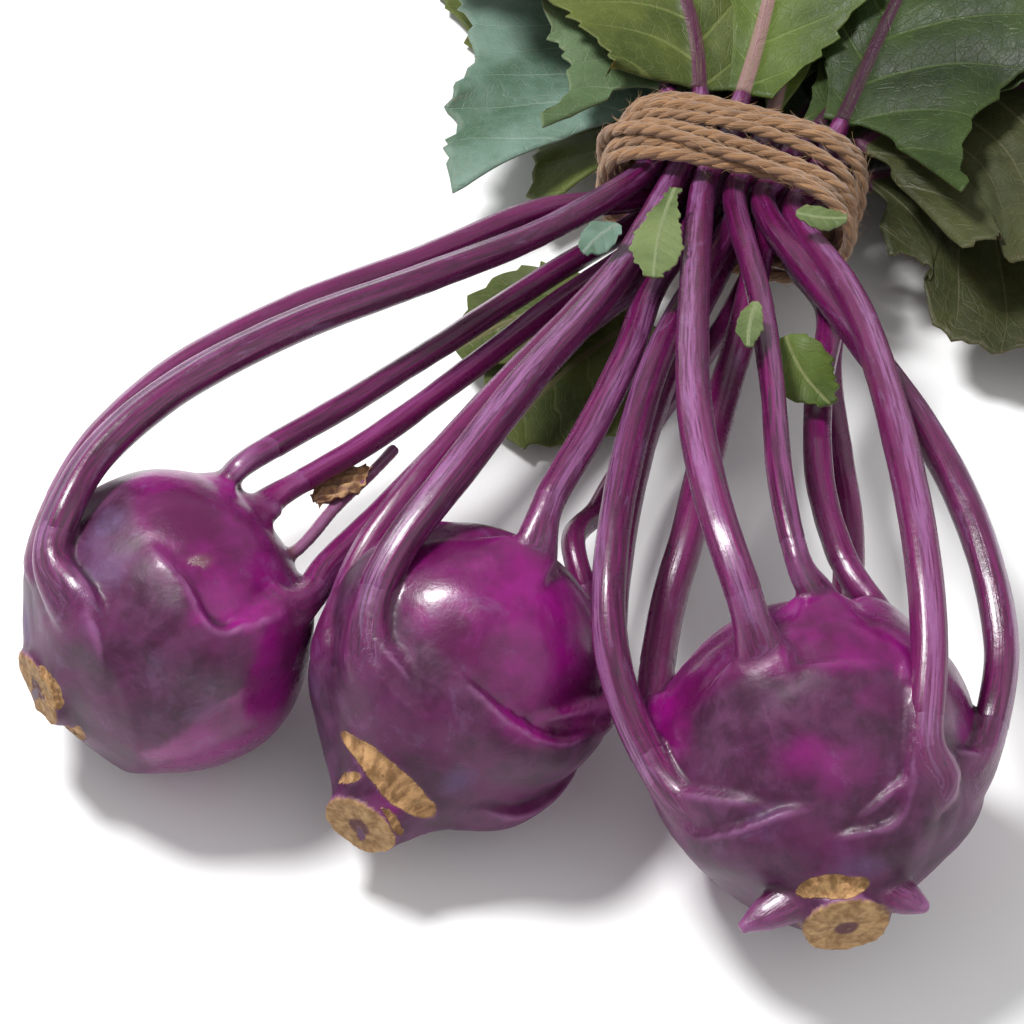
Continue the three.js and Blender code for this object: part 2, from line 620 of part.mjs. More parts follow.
// Small leaflets low on the stalks, near the tie: start and tip of each, half width, and where it is widest
const LEAFLETS = [
  { name: 'leaflet_left_pale', from: V(54, 137, 62), to: V(47, 94, 74), half: 6, widest: 0.66, wave: 0.6 },
  { name: 'leaflet_left_round', from: V(39, 119, 67), to: V(30, 109, 67), half: 4.5, widest: 0.5, wave: 0.6 },
  { name: 'leaflet_centre_pale', from: V(72, 84, 75.5), to: V(69, 66, 79), half: 3, widest: 0.5, wave: 0.3 },
  { name: 'leaflet_right_round', from: V(80, 85, 62), to: V(90, 65, 59), half: 8, widest: 0.45, wave: 1.4 },
  { name: 'leaflet_right_pale', from: V(85, 130, 60), to: V(98, 128, 60), half: 3.8, widest: 0.5, wave: 0.6 },
  { name: 'leaf_folded_under', from: V(47, 140, 10), to: V(10, 102, 5), half: 23, widest: 0.5, wave: 1.4 },
  { name: 'leaf_folded_left', from: V(38, 147, 15), to: V(-3, 127, 11.5), half: 15.5, widest: 0.52, wave: 1.2 },
  { name: 'dry_leaf_scrap', from: V(-23.5, 55.5, 46.4), to: V(-36, 42.5, 48.9), half: 4.8, widest: 0.5, wave: 0 },
];

function leaflet({ from, to, half, widest, wave }) {
  const along = to.clone().sub(from);
  const across = V(along.y, -along.x, 0).normalize();
  const rows = 7;
  const lean = Math.log(0.5) / Math.log(widest);
  const points = [];
  for (let i = 0; i < rows; i += 1) {
    const u = i / (rows - 1);
    const swell = Math.sin(Math.PI * clamp(u, 0.02, 0.96) ** lean);
    const reach = half * (0.25 + 0.85 * swell + (i % 2 ? 0.12 : -0.05));
    for (const v of [-1, -0.4, 0.4, 1]) {
      const p = from.clone().addScaledVector(along, u).addScaledVector(across, v * reach);
      points.push({ x: p.x, y: p.y, height: p.z + wave * v * v * Math.sin(u * 7), rib: 0 });
    }
  }
  return blade(points, rows, 4);
}

// Twine

// A point of the flattened ring round the tie
function ringPoint(turn, along, outward) {
  const angle = 2 * Math.PI * turn;
  const c = Math.cos(angle);
  const s = Math.sin(angle);
  const size = (Math.abs(c) ** TIE_SQUARENESS + Math.abs(s) ** TIE_SQUARENESS) ** (-1 / TIE_SQUARENESS);
  return TIE_CENTRE.clone()
    .addScaledVector(tieAcross, (TIE_HALF_WIDTH + outward) * size * c)
    .addScaledVector(V(0, 0, 1), (TIE_HALF_HEIGHT + outward) * size * s)
    .addScaledVector(tieAlong, along);
}

// One length of twine: five turns side by side, then a turn crossing over them, with a short free end
function twine() {
  const path = [];
  const span = TWINE_TURNS * TWINE_PITCH;
  const steps = Math.round(TWINE_TURNS * TWINE_STEPS);
  for (let i = 0; i <= steps; i += 1) {
    const turn = i / TWINE_STEPS;
    const drift = 0.25 * Math.sin(turn * 4 * Math.PI) * Math.sin((Math.PI * i) / steps);
    path.push(ringPoint(turn - 0.1, span / 2 - turn * TWINE_PITCH + drift, 0));
  }
  const over = Math.round(TWINE_OVER_TURNS * TWINE_STEPS);
  for (let i = 1; i <= over; i += 1) {
    const turn = i / TWINE_STEPS;
    const along = -span / 2 + span * 0.8 * ease(turn, 0.16, TWINE_OVER_TURNS);
    path.push(ringPoint(TWINE_TURNS + turn - 0.1, along, (2 * TWINE_RADIUS + 0.5) * ease(turn, 0, 0.14)));
  }
  const round = () => ({ width: TWINE_RADIUS, thickness: TWINE_RADIUS });
  return tube(ringsRound(path, tieAlong, TWINE_SIDES, round));
}

// Assembly

const group = new THREE.Group();
group.name = 'kohlrabi_bunch';

function addNode(name, geometry, colour) {
  const material = new THREE.MeshStandardMaterial({ color: colour, roughness: 0.6 });
  const mesh = new THREE.Mesh(geometry.translate(0, -BULBS.middle.centre.y, 0), material);
  mesh.name = name;
  group.add(mesh);
}

const settled = settleStalks();
for (const bulbName of Object.keys(BULBS)) {
  addNode(`kohlrabi_${bulbName}`, toGeometry(plant(bulbName, settled)), 0x74305f);
}
for (const s of settled) {
  addNode(`leaf_${s.row}_${s.column + 1}`, bladeOf(s), 0x4c6030);
}
for (const one of LEAFLETS) {
  addNode(one.name, leaflet(one), one.name.startsWith('dry') ? 0x9a7a5a : 0x6d8048);
}
addNode('twine', twine(), 0x8b6d50);

export default group;
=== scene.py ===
"""Looks for a tied bunch of three purple kohlrabi that lies on a pale floor.

Shapes are worked out in millimetres, as in the part's source, and become metres when an object is made.
"""

import math
import random

import bpy
import numpy as np
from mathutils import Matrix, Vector, noise
from mathutils.kdtree import KDTree


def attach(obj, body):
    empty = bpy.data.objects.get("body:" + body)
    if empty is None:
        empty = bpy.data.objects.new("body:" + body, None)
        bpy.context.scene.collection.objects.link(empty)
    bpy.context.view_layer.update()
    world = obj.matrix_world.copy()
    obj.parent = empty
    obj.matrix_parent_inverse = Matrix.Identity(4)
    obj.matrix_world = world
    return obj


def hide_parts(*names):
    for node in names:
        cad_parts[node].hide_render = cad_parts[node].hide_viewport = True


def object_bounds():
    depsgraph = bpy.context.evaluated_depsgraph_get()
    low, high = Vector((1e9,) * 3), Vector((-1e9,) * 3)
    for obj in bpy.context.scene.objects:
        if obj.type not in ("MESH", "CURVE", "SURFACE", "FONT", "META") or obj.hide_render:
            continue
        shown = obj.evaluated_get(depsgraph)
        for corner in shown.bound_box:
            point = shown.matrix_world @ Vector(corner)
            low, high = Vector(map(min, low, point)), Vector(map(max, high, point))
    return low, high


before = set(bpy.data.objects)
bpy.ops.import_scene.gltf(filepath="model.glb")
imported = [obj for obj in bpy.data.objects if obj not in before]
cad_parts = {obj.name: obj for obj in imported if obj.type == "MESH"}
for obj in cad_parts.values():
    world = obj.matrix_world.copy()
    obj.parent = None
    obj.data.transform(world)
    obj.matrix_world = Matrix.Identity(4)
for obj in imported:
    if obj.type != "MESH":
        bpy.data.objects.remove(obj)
CAD_LOW, CAD_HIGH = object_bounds()

# The frame's origin is under the middle bulb, 2 mm from the origin in which the shapes are laid out
SHIFT = np.array([0, -2, 0])
UP = np.array([0.0, 0.0, 1.0])

# Driving dimensions of the bulbs
BULBS = {
    "left": {
        "centre": (-71, 15, 36.4), "radius": 37, "azimuth": 58, "root_length": 0.45,
        "root_shift": (0, 0, -2), "lumps": 0.4,
    },
    "middle": {
        "centre": (0, 2, 35.4), "radius": 36, "azimuth": 26, "root_length": 0.78,
        "root_shift": (-5, 0, -11), "lumps": 2.1,
    },
    "right": {
        "centre": (83, -26, 37.9), "radius": 38.5, "azimuth": -6, "root_length": 0.75,
        "root_shift": (0, 0, -4), "lumps": 4,
    },
}
ROOT_STARTS = -0.64
LUMP_HEIGHT = 1.3
# Radius and height of the outline in bulb radii, from the crown to the cut root
OUTLINE = [
    (0, 0.86), (0.35, 0.84), (0.7, 0.66), (0.94, 0.33), (1, 0), (0.93, -0.32),
    (0.76, -0.64), (0.54, -0.92), (0.36, -1.12), (0.28, -1.24), (0.26, -1.36),
]
BULB_RINGS = 130
BULB_SIDES = 220
VOXEL = 0.78
# The skin is raised below each leaf base: height at the base, and how far it runs toward the root and the crown
SHELF_HEIGHT = 3.6
SHELF_DOWN = 20
SHELF_UP = 1.6
# A ridge is even over the first length below its edge and fades out at the second; above the edge it falls steeply
RIDGE_EVEN = 4
RIDGE_DOWN = 20
RIDGE_UP = 1.2
RIDGE_SCALE = 1.85
# How far past its lift from the bulb each stalk grows together with it, and the taper that ends this part
STUB_LENGTH = 16
STUB_TAPER = 9

# The tie: a flattened ring round three rows of six stalks
TIE_CENTRE = np.array([71.0, 164.0, 36.0])
TIE_AZIMUTH = 20
TIE_HALF_WIDTH = 32.5
TIE_HALF_HEIGHT = 17.6
TIE_SQUARENESS = 3
BAND_HALF = 13
COLUMN_PITCH = 8.9
ROW_PITCH = 8.2
ROWS = {"bottom": 0, "middle": 1, "top": 2}
COLUMNS = 6

TWINE_RADIUS = 1.85
TWINE_PITCH = 4.1
TWINE_TURNS = 6
TWINE_OVER_TURNS = 0.93
PLIES = 3
PLY_LAY = 15
PLY_SIDES = 10
FIBRES = 1900

# Leaf stalks
STALK_RADIUS_IN_TIE = 3.2
STALK_RADIUS_AT_BLADE = 2.4
STALK_SAMPLES = 44
STALK_CLEARANCE = 0.9
STALK_END = 10
TURN_BEFORE_BLADE = 0.4
SETTLE_PASSES = 80
STALK_RINGS = 130
STALK_SIDES = 26

# Leaf blades
BLADE_THICKNESS = 0.75
BLADE_GAP = 0.7
RUFFLE = 0.33
VEIN_PITCH = 13
LEAF_AZIMUTHS = {
    "bottom": (-22, -8, 14, 40, 70, 124),
    "middle": (-14, -2, 20, 45, 74, 96),
    "top": (-34, -30, 12, 6, 62, 28),
}
# Which layer of the mound each leaf is in, the lowest first
LAYERS = {"bottom": (0, 1, 2, 0, 1, 2), "middle": (3, 4, 5, 3, 4, 5), "top": (6, 7, 8, 6, 6, 7)}
# Leaves of another size than the rest: length and half width
YOUNG_LEAVES = {("top", 3): (84, 14)}

# Each stalk: name, bulb, start of its ridge and place where it lifts off as (crown 0 to root 1, angle round the
# bulb), half width of its flared base, radius, row and column in the tie, and points passed on the way to the tie
STALK_TABLE = [
    ("La", "left", (0.66, 44), (0.62, 10), 8, 4.4, "top", 0,
     [(-96, 10, 66), (-93, 22, 71), (-85, 38, 74), (-68, 56, 76), (-42, 75, 76), (-11, 97, 70), (19, 125, 58)]),
    ("Lb", "left", (0.62, 4), (0.6, -30), 6.5, 3.5, "middle", 0,
     [(-97, 32, 60), (-88, 50, 64), (-70, 72, 65), (-43, 93, 64), (-11, 115, 59), (19, 140, 51)]),
    ("Lc", "left", (0.24, -33), (0.2, -32), 5.5, 3.2, "bottom", 0,
     [(-51, 45, 62), (-29, 67, 57), (-4, 96, 49), (19, 125, 40)]),
    ("Ld", "left", (0.19, -12), (0.15, -12), 5.5, 3.1, "bottom", 1,
     [(-45, 40, 54), (-23, 61, 50), (-1, 89, 43), (25, 122, 36)]),
    ("Le", "left", (0.42, 50), (0.24, 56), 7, 3.9, "bottom", 2,
     [(-34, 18, 47), (-22, 38, 43), (-6, 62, 42), (14, 92, 40)]),
    ("Ma", "middle", (0.68, 14), (0.6, -22), 8.5, 4.5, "top", 1,
     [(-20, -2, 66), (-14, 10, 72), (-1, 29, 76), (16, 60, 74), (37, 103, 62)]),
    ("Mb", "middle", (0.68, -34), (0.57, -54), 7, 3.7, "middle", 1,
     [(-28, 9, 52), (-21, 23, 58), (-8, 42, 62), (12, 73, 60), (35, 114, 50)]),
    ("Mc", "middle", (0.36, 24), (0.27, 20), 7, 3.9, "middle", 2,
     [(21, 25, 70), (31, 47, 70), (41, 79, 62), (48, 111, 52)]),
    ("Md", "middle", (0.58, 62), (0.42, 84), 7, 3.9, "bottom", 3,
     [(35, -4, 38), (37, 23, 42), (42, 57, 40), (52, 101, 30)]),
    ("Me", "middle", (0.28, 98), (0.2, 96), 5, 3, "bottom", 4,
     [(27, 36, 40), (34, 57, 30), (48, 91, 24), (67, 123, 24)]),
    ("Ra", "right", (0.68, -34), (0.55, -74), 8, 4.1, "middle", 3,
     [(41, -30, 52), (35, -13, 62), (35, 8, 68), (40, 43, 68), (50, 84, 62)]),
    ("Rb", "right", (0.4, -92), (0.3, -84), 7, 4.4, "middle", 4,
     [(49, 14, 42), (55, 36, 46), (62, 68, 46), (71, 106, 42)]),
    ("Rc", "right", (0.5, -14), (0.38, -21), 8, 4.3, "top", 2,
     [(64, -15, 86), (58, 8, 90), (55, 44, 84), (57, 90, 70)]),
    ("Rd", "right", (0.32, 4), (0.24, 4), 6, 3.1, "top", 3,
     [(78, 2, 76), (75, 25, 78), (75, 61, 72), (74, 103, 60)]),
    ("Re", "right", (0.74, 8), (0.6, 46), 8, 4.3, "top", 5,
     [(105, -42, 66), (107, -20, 74), (106, 12, 78), (103, 55, 72), (98, 99, 60)]),
    ("Rf", "right", (0.72, 46), (0.55, 68), 8, 4.2, "top", 4,
     [(123, -25, 50), (126, -7, 58), (122, 23, 62), (112, 59, 60), (95, 102, 54)]),
    ("Rg", "right", (0.2, 150), (0.14, 140), 6, 3.8, "bottom", 5,
     [(95, 41, 36), (94, 67, 36), (93, 97, 33), (95, 124, 30)]),
    ("Rh", "right", (0.22, 66), (0.17, 52), 6, 3.6, "middle", 5,
     [(91, 18, 56), (87, 45, 54), (89, 80, 48), (94, 114, 41)]),
]
KEYS = ("name", "bulb", "ridge", "base", "flare", "radius", "row", "column", "via")
STALKS = [dict(zip(KEYS, row)) for row in STALK_TABLE]

# Ridges where leaf bases clasp the bulb: a place on the side that isn't raised, then places along the ridge with
# their heights in millimetres
RIDGES = {
    "left": [
        ((0.25, 20), [(0.15, 52, 1), (0.28, 50, 2.2), (0.35, 48, 2.5), (0.4, 46, 2.6), (0.415, 39, 2.2),
                      (0.415, 27, 1.4), (0.425, 15, 0.8), (0.435, 5, 0)]),
        ((0.45, 40), [(0.54, -28, 1.6), (0.58, -20, 2), (0.628, -7, 2), (0.662, 17, 1.5), (0.66, 42, 0)]),
    ],
    "middle": [
        ((0.4, 20), [(0.357, -26, 1), (0.475, -26, 2), (0.568, -22, 2.5), (0.615, -13, 2.5), (0.65, 5, 1.8),
                     (0.665, 34, 0)]),
        ((0.4, 30), [(0.388, 84, 1.5), (0.46, 81, 2.2), (0.517, 75, 2.7), (0.552, 64, 2.7), (0.573, 46, 2),
                     (0.575, 30, 1.2), (0.562, 16, 0.4), (0.53, 6, 0)]),
        ((0.5, 85), [(0.7, 92, 0), (0.66, 100, 1.2), (0.6, 110, 1.9), (0.52, 117, 1.9), (0.45, 118, 1), (0.4, 118, 0)]),
    ],
    "right": [
        ((0.45, -30), [(0.378, -80, 1), (0.508, -75, 2.2), (0.568, -74, 2.7), (0.6, -70, 2.9), (0.642, -50, 2.6),
                       (0.655, -28, 1.6), (0.66, -10, 0)]),
        ((0.45, 0), [(0.482, 27, 0.8), (0.562, 29, 1.8), (0.628, 30, 2.6), (0.685, 27, 2.6), (0.71, 11, 1.8),
                     (0.725, -10, 0.6), (0.73, -25, 0)]),
        ((0.35, 55), [(0.427, 82, 1.6), (0.503, 67, 2.2), (0.545, 46, 1.4), (0.56, 36, 0)]),
        ((0.3, 0), [(0.395, -50, 0), (0.408, -38, 0.7), (0.43, -20, 0.9), (0.422, -6, 0.9), (0.425, 8, 0.8),
                    (0.417, 22, 0)]),
    ],
}
# Old leaf scars: place on the bulb, half length round the bulb and half height, in millimetres
SCARS = {
    "left": [(0.8, 125, 5, 2.2), (0.95, 45, 6, 1.8), (0.9, 160, 8, 3)],
    "middle": [(0.82, 20, 15, 3.7), (0.875, -30, 5, 1.3), (0.94, 62, 5, 1.2), (0.84, 170, 12, 3.6)],
    "right": [(0.89, -18, 8.7, 2.7), (0.82, 128, 10, 3.4), (0.9, 200, 8, 3)],
}
# Patches of blue-grey wax, and patches that stay bright: place on the bulb and radius in millimetres
WAX = {
    "left": [(0.53, 1, 8), (0.47, -14, 6), (0.753, -52, 8), (0.63, 4, 5)],
    "middle": [(0.6, -60, 6), (0.7, 66, 5)],
    "right": [(0.66, -40, 5), (0.78, 8, 6)],
}
BRIGHT = {
    "left": [(0.34, 90, 10), (0.43, 95, 10)],
    "middle": [(0.5, 98, 7), (0.9, 44, 6)],
    "right": [(0.4, -66, 8), (0.435, -60, 6), (0.575, -16, 7), (0.6, 0, 8), (0.497, 17, 6)],
}
# Where the dull skin starts: angle round the bulb and place from crown to root
DULL_FROM = {
    "left": [(-180, 0.5), (-90, 0.4), (-30, 0.37), (0, 0.42), (15, 0.425), (40, 0.41), (52, 0.33), (70, 0.38),
             (80, 0.5), (100, 0.58), (140, 0.55), (180, 0.5)],
    "middle": [(-180, 0.5), (-90, 0.42), (-45, 0.36), (-28, 0.42), (-15, 0.5), (0, 0.53), (16, 0.555), (30, 0.57),
               (46, 0.57), (64, 0.55), (75, 0.5), (84, 0.4), (110, 0.42), (180, 0.5)],
    "right": [(-180, 0.5), (-100, 0.45), (-74, 0.5), (-60, 0.41), (-48, 0.4), (-20, 0.415), (8, 0.425), (22, 0.42),
              (30, 0.5), (60, 0.5), (100, 0.5), (180, 0.5)],
}


# Numbers and curves

def mix(a, b, t):
    return a + (b - a) * t


def ease(x, low, high):
    t = np.clip((np.asarray(x, float) - low) / (high - low), 0, 1)
    return t * t * (3 - 2 * t)


def heading_of(azimuth):
    """Level unit vector at an azimuth in degrees from +Y toward +X."""
    a = np.radians(azimuth)
    return np.stack([np.sin(a), np.cos(a), np.zeros_like(a)], -1)


def unit(v):
    return v / (np.linalg.norm(v, axis=-1, keepdims=True) + 1e-12)


def spline(points, t):
    """Points of a Catmull-Rom curve at t from 0 to 1, shared evenly among its spans."""
    points = np.asarray(points, float)
    padded = np.vstack([2 * points[0] - points[1], points, 2 * points[-1] - points[-2]])
    place = np.clip(np.asarray(t, float), 0, 1) * (len(points) - 1)
    first = np.minimum(place.astype(int), len(points) - 2)
    s = (place - first)[..., None]
    before, here, there, after = (padded[first + k] for k in range(4))
    leave = 0.5 * (there - before)
    arrive = 0.5 * (after - here)
    square = -3 * here + 3 * there - 2 * leave - arrive
    cube = 2 * here - 2 * there + leave + arrive
    return here + leave * s + square * s ** 2 + cube * s ** 3


def evenly(path, count):
    """The same polyline with count points at equal distances, and the place of each among the old ones."""
    length = np.concatenate([[0], np.cumsum(np.linalg.norm(np.diff(path, axis=0), axis=1))])
    want = np.linspace(0, length[-1], count)
    place = np.interp(want, length, np.arange(len(path)))
    points = np.stack([np.interp(want, length, path[:, k]) for k in range(3)], 1)
    return points, place, want


def carried_frames(path, normal):
    """Tangents, and two cross directions carried along the path without twist."""
    tangents = unit(np.gradient(path, axis=0))
    normals = np.zeros_like(path)
    for i, tangent in enumerate(tangents):
        normal = normal - tangent * normal.dot(tangent)
        normal = normal / np.linalg.norm(normal)
        normals[i] = normal
    return tangents, normals, np.cross(tangents, normals)


def noises(points, scale, seed=0):
    """Smooth noise from -1 to 1 at each point, with features about scale millimetres across."""
    at = points / scale + np.array([seed * 17.3, seed * 5.1, -seed * 9.7])
    return np.array([noise.noise(Vector(p)) for p in at])


# Meshes

def tube_faces(rings, sides, start=0, closed=True):
    """Quads of a tube of rings, with a cap on each end."""
    i = np.arange(rings - 1)[:, None] * sides
    j = np.arange(sides)[None, :]
    k = (j + 1) % sides
    quads = np.stack([i + j, i + k, i + sides + k, i + sides + j], -1).reshape(-1, 4) + start
    faces = quads.tolist()
    if closed:
        faces.append((np.arange(sides)[::-1] + start).tolist())
        faces.append((np.arange(sides) + (rings - 1) * sides + start).tolist())
    return faces


def joined(parts):
    """One list of points and faces from several."""
    points, faces, count = [], [], 0
    for part_points, part_faces in parts:
        points.append(part_points)
        faces += [[i + count for i in face] for face in part_faces]
        count += len(part_points)
    return np.vstack(points), faces


def mesh_of(name, points, faces):
    mesh = bpy.data.meshes.new(name)
    mesh.from_pydata(np.asarray(points).tolist(), [], faces)
    mesh.update()
    return mesh


def add_piece(name, points, faces, material, nodes, attributes, inside=True):
    """A shown piece of the bunch that stands for CAD nodes. Points are in millimetres."""
    placed = (points + SHIFT) / 1000
    placed[:, 2] = np.maximum(placed[:, 2], 0)
    if inside:
        placed = np.clip(placed, np.array(CAD_LOW), np.array(CAD_HIGH))
    mesh = mesh_of(name, placed, faces)
    for key, values in attributes.items():
        values = np.asarray(values, float)
        kind, field = ("FLOAT", "value") if values.ndim == 1 else ("FLOAT_VECTOR", "vector")
        layer = mesh.attributes.new(key, kind, "POINT")
        layer.data.foreach_set(field, values.ravel())
    mesh.polygons.foreach_set("use_smooth", np.ones(len(mesh.polygons), bool))
    mesh.materials.append(material)
    piece = bpy.data.objects.new(name, mesh)
    bpy.context.scene.collection.objects.link(piece)
    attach(piece, "root")
    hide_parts(*nodes)
    return piece


# Bulbs

def bulb_axes(bulb):
    axis = heading_of(np.array(float(bulb["azimuth"])))
    side = np.array([axis[1], -axis[0], 0])
    return axis, side


def on_bulb(bulb, t, phi, out=0.0):
    """Points and normals on the bulb: t from crown 0 to root 1, phi in degrees from the top toward the side."""
    t, phi = np.broadcast_arrays(np.asarray(t, float), np.asarray(phi, float))
    axis, side = bulb_axes(bulb)
    a = np.radians(phi)
    radial = np.cos(a)[..., None] * UP + np.sin(a)[..., None] * side
    p = spline(OUTLINE, t)
    step = 1e-4
    middle = np.clip(t, 0.001, 0.999)
    q = unit(spline(OUTLINE, middle + step) - spline(OUTLINE, middle - step))
    normal = unit(-q[..., 1:] * radial + q[..., :1] * axis)
    height = np.where(p[..., 1] > ROOT_STARTS, p[..., 1], ROOT_STARTS + (p[..., 1] - ROOT_STARTS) * bulb["root_length"])
    lump = LUMP_HEIGHT * np.sin(3 * a + bulb["lumps"]) * ease(t, 0.46, 0.72) * (1 - ease(t, 0.85, 1))
    point = (
        np.array(bulb["centre"], float)
        + radial * (p[..., 0] * bulb["radius"] + lump)[..., None]
        + axis * (height * bulb["radius"])[..., None]
        + np.array(bulb["root_shift"], float) * ease(t, 0.45, 1)[..., None]
        + normal * out
    )
    return point, normal


def shelf_height(name, t, phi):
    """How far the skin is raised by the leaf bases above it: a crisp lip toward the crown, a long slope below."""
    bulb = BULBS[name]
    points, _ = on_bulb(bulb, t, phi)
    height = np.zeros(points.shape[:-1])
    for s in [one for one in STALKS if one["bulb"] == name]:
        nearest = np.full(height.shape, np.inf)
        raised = np.zeros(height.shape)
        for part in np.linspace(0, 1, 33):
            place = (mix(s["ridge"][0], s["base"][0], part), mix(s["ridge"][1], s["base"][1], part))
            on, _ = on_bulb(bulb, *place)
            down = unit(on_bulb(bulb, place[0] + 0.01, place[1])[0] - on)
            away = points - on
            distance = np.linalg.norm(away, axis=-1)
            beyond = distance - 0.6 * s["flare"] * mix(0.6, 1, part)
            run = mix(SHELF_UP, SHELF_DOWN, ease(away @ down / (distance + 1e-6), -0.3, 0.5))
            here = SHELF_HEIGHT * s["flare"] / 8 * ease(part, -0.3, 1) * (1 - ease(beyond / run, 0, 1))
            raised = np.where(distance < nearest, here, raised)
            nearest = np.minimum(nearest, distance)
        height = np.maximum(height, raised)
    from_top = np.abs((phi + 180) % 360 - 180)
    height = height * (1 - ease(from_top, 120, 155))
    for inside, ridge in RIDGES[name]:
        height = np.maximum(height, ridge_height(bulb, points, inside, ridge))
    return height


def ridge_height(bulb, points, inside, ridge):
    """How far one ridge raises the skin: sharply at its edge, fading out on its other side."""
    place = np.linspace(0, 1, 90)
    knots = np.array(ridge, float)
    t, phi, top = spline(knots, place).T
    line, normals = on_bulb(bulb, t, phi)
    across = np.cross(unit(np.gradient(line, axis=0)), normals)
    bare, _ = on_bulb(bulb, *inside)
    if ((bare - line) * across).sum() > 0:
        across = -across
    nearest = np.full(points.shape[:-1], np.inf)
    height = np.zeros(points.shape[:-1])
    for k in range(len(line)):
        away = points - line[k]
        distance = np.linalg.norm(away, axis=-1)
        beyond = away @ across[k]
        raised = np.where(beyond > 0, 1 - ease(distance, RIDGE_EVEN, RIDGE_DOWN), 1 - ease(distance, 0, RIDGE_UP))
        closer = distance < nearest
        height = np.where(closer, RIDGE_SCALE * max(top[k], 0) * raised, height)
        nearest = np.where(closer, distance, nearest)
    return height


def bulb_body(name):
    t = mix(0.004, 1, np.linspace(0, 1, BULB_RINGS))[:, None]
    phi = -360 * np.arange(BULB_SIDES)[None, :] / BULB_SIDES
    points, _ = on_bulb(BULBS[name], t, phi, shelf_height(name, t, phi)[..., None])
    return points.reshape(-1, 3), tube_faces(BULB_RINGS, BULB_SIDES)


# The tie and the leaves share one height field, so that layers of leaves never cross

TIE_ALONG = heading_of(np.array(float(TIE_AZIMUTH)))
TIE_ACROSS = np.array([TIE_ALONG[1], -TIE_ALONG[0], 0])


def slot_in_tie(row, column, along):
    place = TIE_CENTRE + TIE_ACROSS * (column - (COLUMNS - 1) / 2) * COLUMN_PITCH + TIE_ALONG * along
    return place + UP * (ROWS[row] - 1) * ROW_PITCH


def away_from_tie(x, y):
    return np.hypot(x - TIE_CENTRE[0], y - TIE_CENTRE[1])


def layer_height(layer, x, y):
    """Lowest layer, gap between layers and height of this layer."""
    away = away_from_tie(x, y)
    low = mix(25.1, 1.3, ease(away, 16, 100))
    gap = mix(ROW_PITCH / 3, 9.4, ease(away, 16, 105)) - 2.4 * ease(away, 125, 200)
    return low, gap, low + layer * gap


# Leaf stalks

def stalk_route(s):
    bulb = BULBS[s["bulb"]]
    middle = (mix(s["ridge"][0], s["base"][0], 0.5), mix(s["ridge"][1], s["base"][1], 0.5))
    azimuth = LEAF_AZIMUTHS[s["row"]][s["column"]]
    toward = heading_of(np.array(float(mix(TIE_AZIMUTH, azimuth, TURN_BEFORE_BLADE))))
    end = slot_in_tie(s["row"], s["column"], BAND_HALF) + toward * STALK_END
    end[2] = layer_height(LAYERS[s["row"]][s["column"]], end[0], end[1])[2]
    return np.array([
        on_bulb(bulb, *s["ridge"], -7)[0],
        on_bulb(bulb, *middle, -2.2)[0],
        on_bulb(bulb, *s["base"], 1.2)[0],
        *np.array(s["via"], float),
        slot_in_tie(s["row"], s["column"], -BAND_HALF),
        slot_in_tie(s["row"], s["column"], 0),
        slot_in_tie(s["row"], s["column"], BAND_HALF),
        end,
    ])


def stalk_radius(s, place):
    """Radius at a sample, narrowing toward the tie and again toward the blade."""
    part = place / (STALK_SAMPLES - 1)
    bound = mix(s["radius"], STALK_RADIUS_IN_TIE, np.clip((part - 0.5) / 0.3, 0, 1))
    return mix(bound, STALK_RADIUS_AT_BLADE, ease(part, 0.93, 1))


def stalk_freedom(points):
    """How far each sample may move while the stalks settle: none at the bulb or beyond the tie."""
    first = math.floor(STALK_SAMPLES * 3 / (points - 1))
    last = math.floor(STALK_SAMPLES * (points - 2.2) / (points - 1))
    i = np.arange(STALK_SAMPLES)
    free = np.minimum(1, (i - first + 1) / 4) * np.minimum(1, (last - i + 1) / 3)
    return np.where((i < first) | (i > last), 0, free)


def push_apart(path, radii, same_bulb, push):
    """Pushes apart the samples of stalks that come closer than their radii and the clearance."""
    late = np.arange(STALK_SAMPLES) >= 10
    for a in range(len(path)):
        away = path[a][None, :, None, :] - path[:, None, :, :]
        distance = np.linalg.norm(away, axis=-1) + 1e-9
        short = radii[a][None, :, None] + radii[:, None, :] + STALK_CLEARANCE - distance
        meets = short > 0
        meets[a] = False
        both_late = late[None, :, None] & late[None, None, :]
        meets &= ~same_bulb[a][:, None, None] | both_late
        move = (np.where(meets, 0.5 * short / distance, 0)[..., None] * away).sum(2)
        count = np.maximum(1, meets.sum(2))
        push[a] += (move / count[..., None]).sum(0)


def keep_off_bulbs(path, radii, own_bulb, push):
    for name, bulb in BULBS.items():
        away = path - np.array(bulb["centre"], float)
        distance = np.linalg.norm(away, axis=-1)
        short = bulb["radius"] + radii + 1 - distance
        short = np.where((short > 0) & (own_bulb != name)[:, None], short, 0)
        push += away * (short / distance)[..., None]


def keep_in_tie(path, radii, push):
    """Keeps the stalks within the ring of twine."""
    away = path - TIE_CENTRE
    near = np.abs(away @ TIE_ALONG) <= BAND_HALF + 3
    room = TWINE_RADIUS + radii + 0.5
    across = (away @ TIE_ACROSS) / (TIE_HALF_WIDTH - room)
    up = away[..., 2] / (TIE_HALF_HEIGHT - room)
    reach = (np.abs(across) ** TIE_SQUARENESS + np.abs(up) ** TIE_SQUARENESS) ** (1 / TIE_SQUARENESS)
    back = np.where(near & (reach > 1), 1 / np.maximum(reach, 1e-6) - 1, 0)
    push += TIE_ACROSS * (back * (away @ TIE_ACROSS))[..., None] + UP * (back * away[..., 2])[..., None]


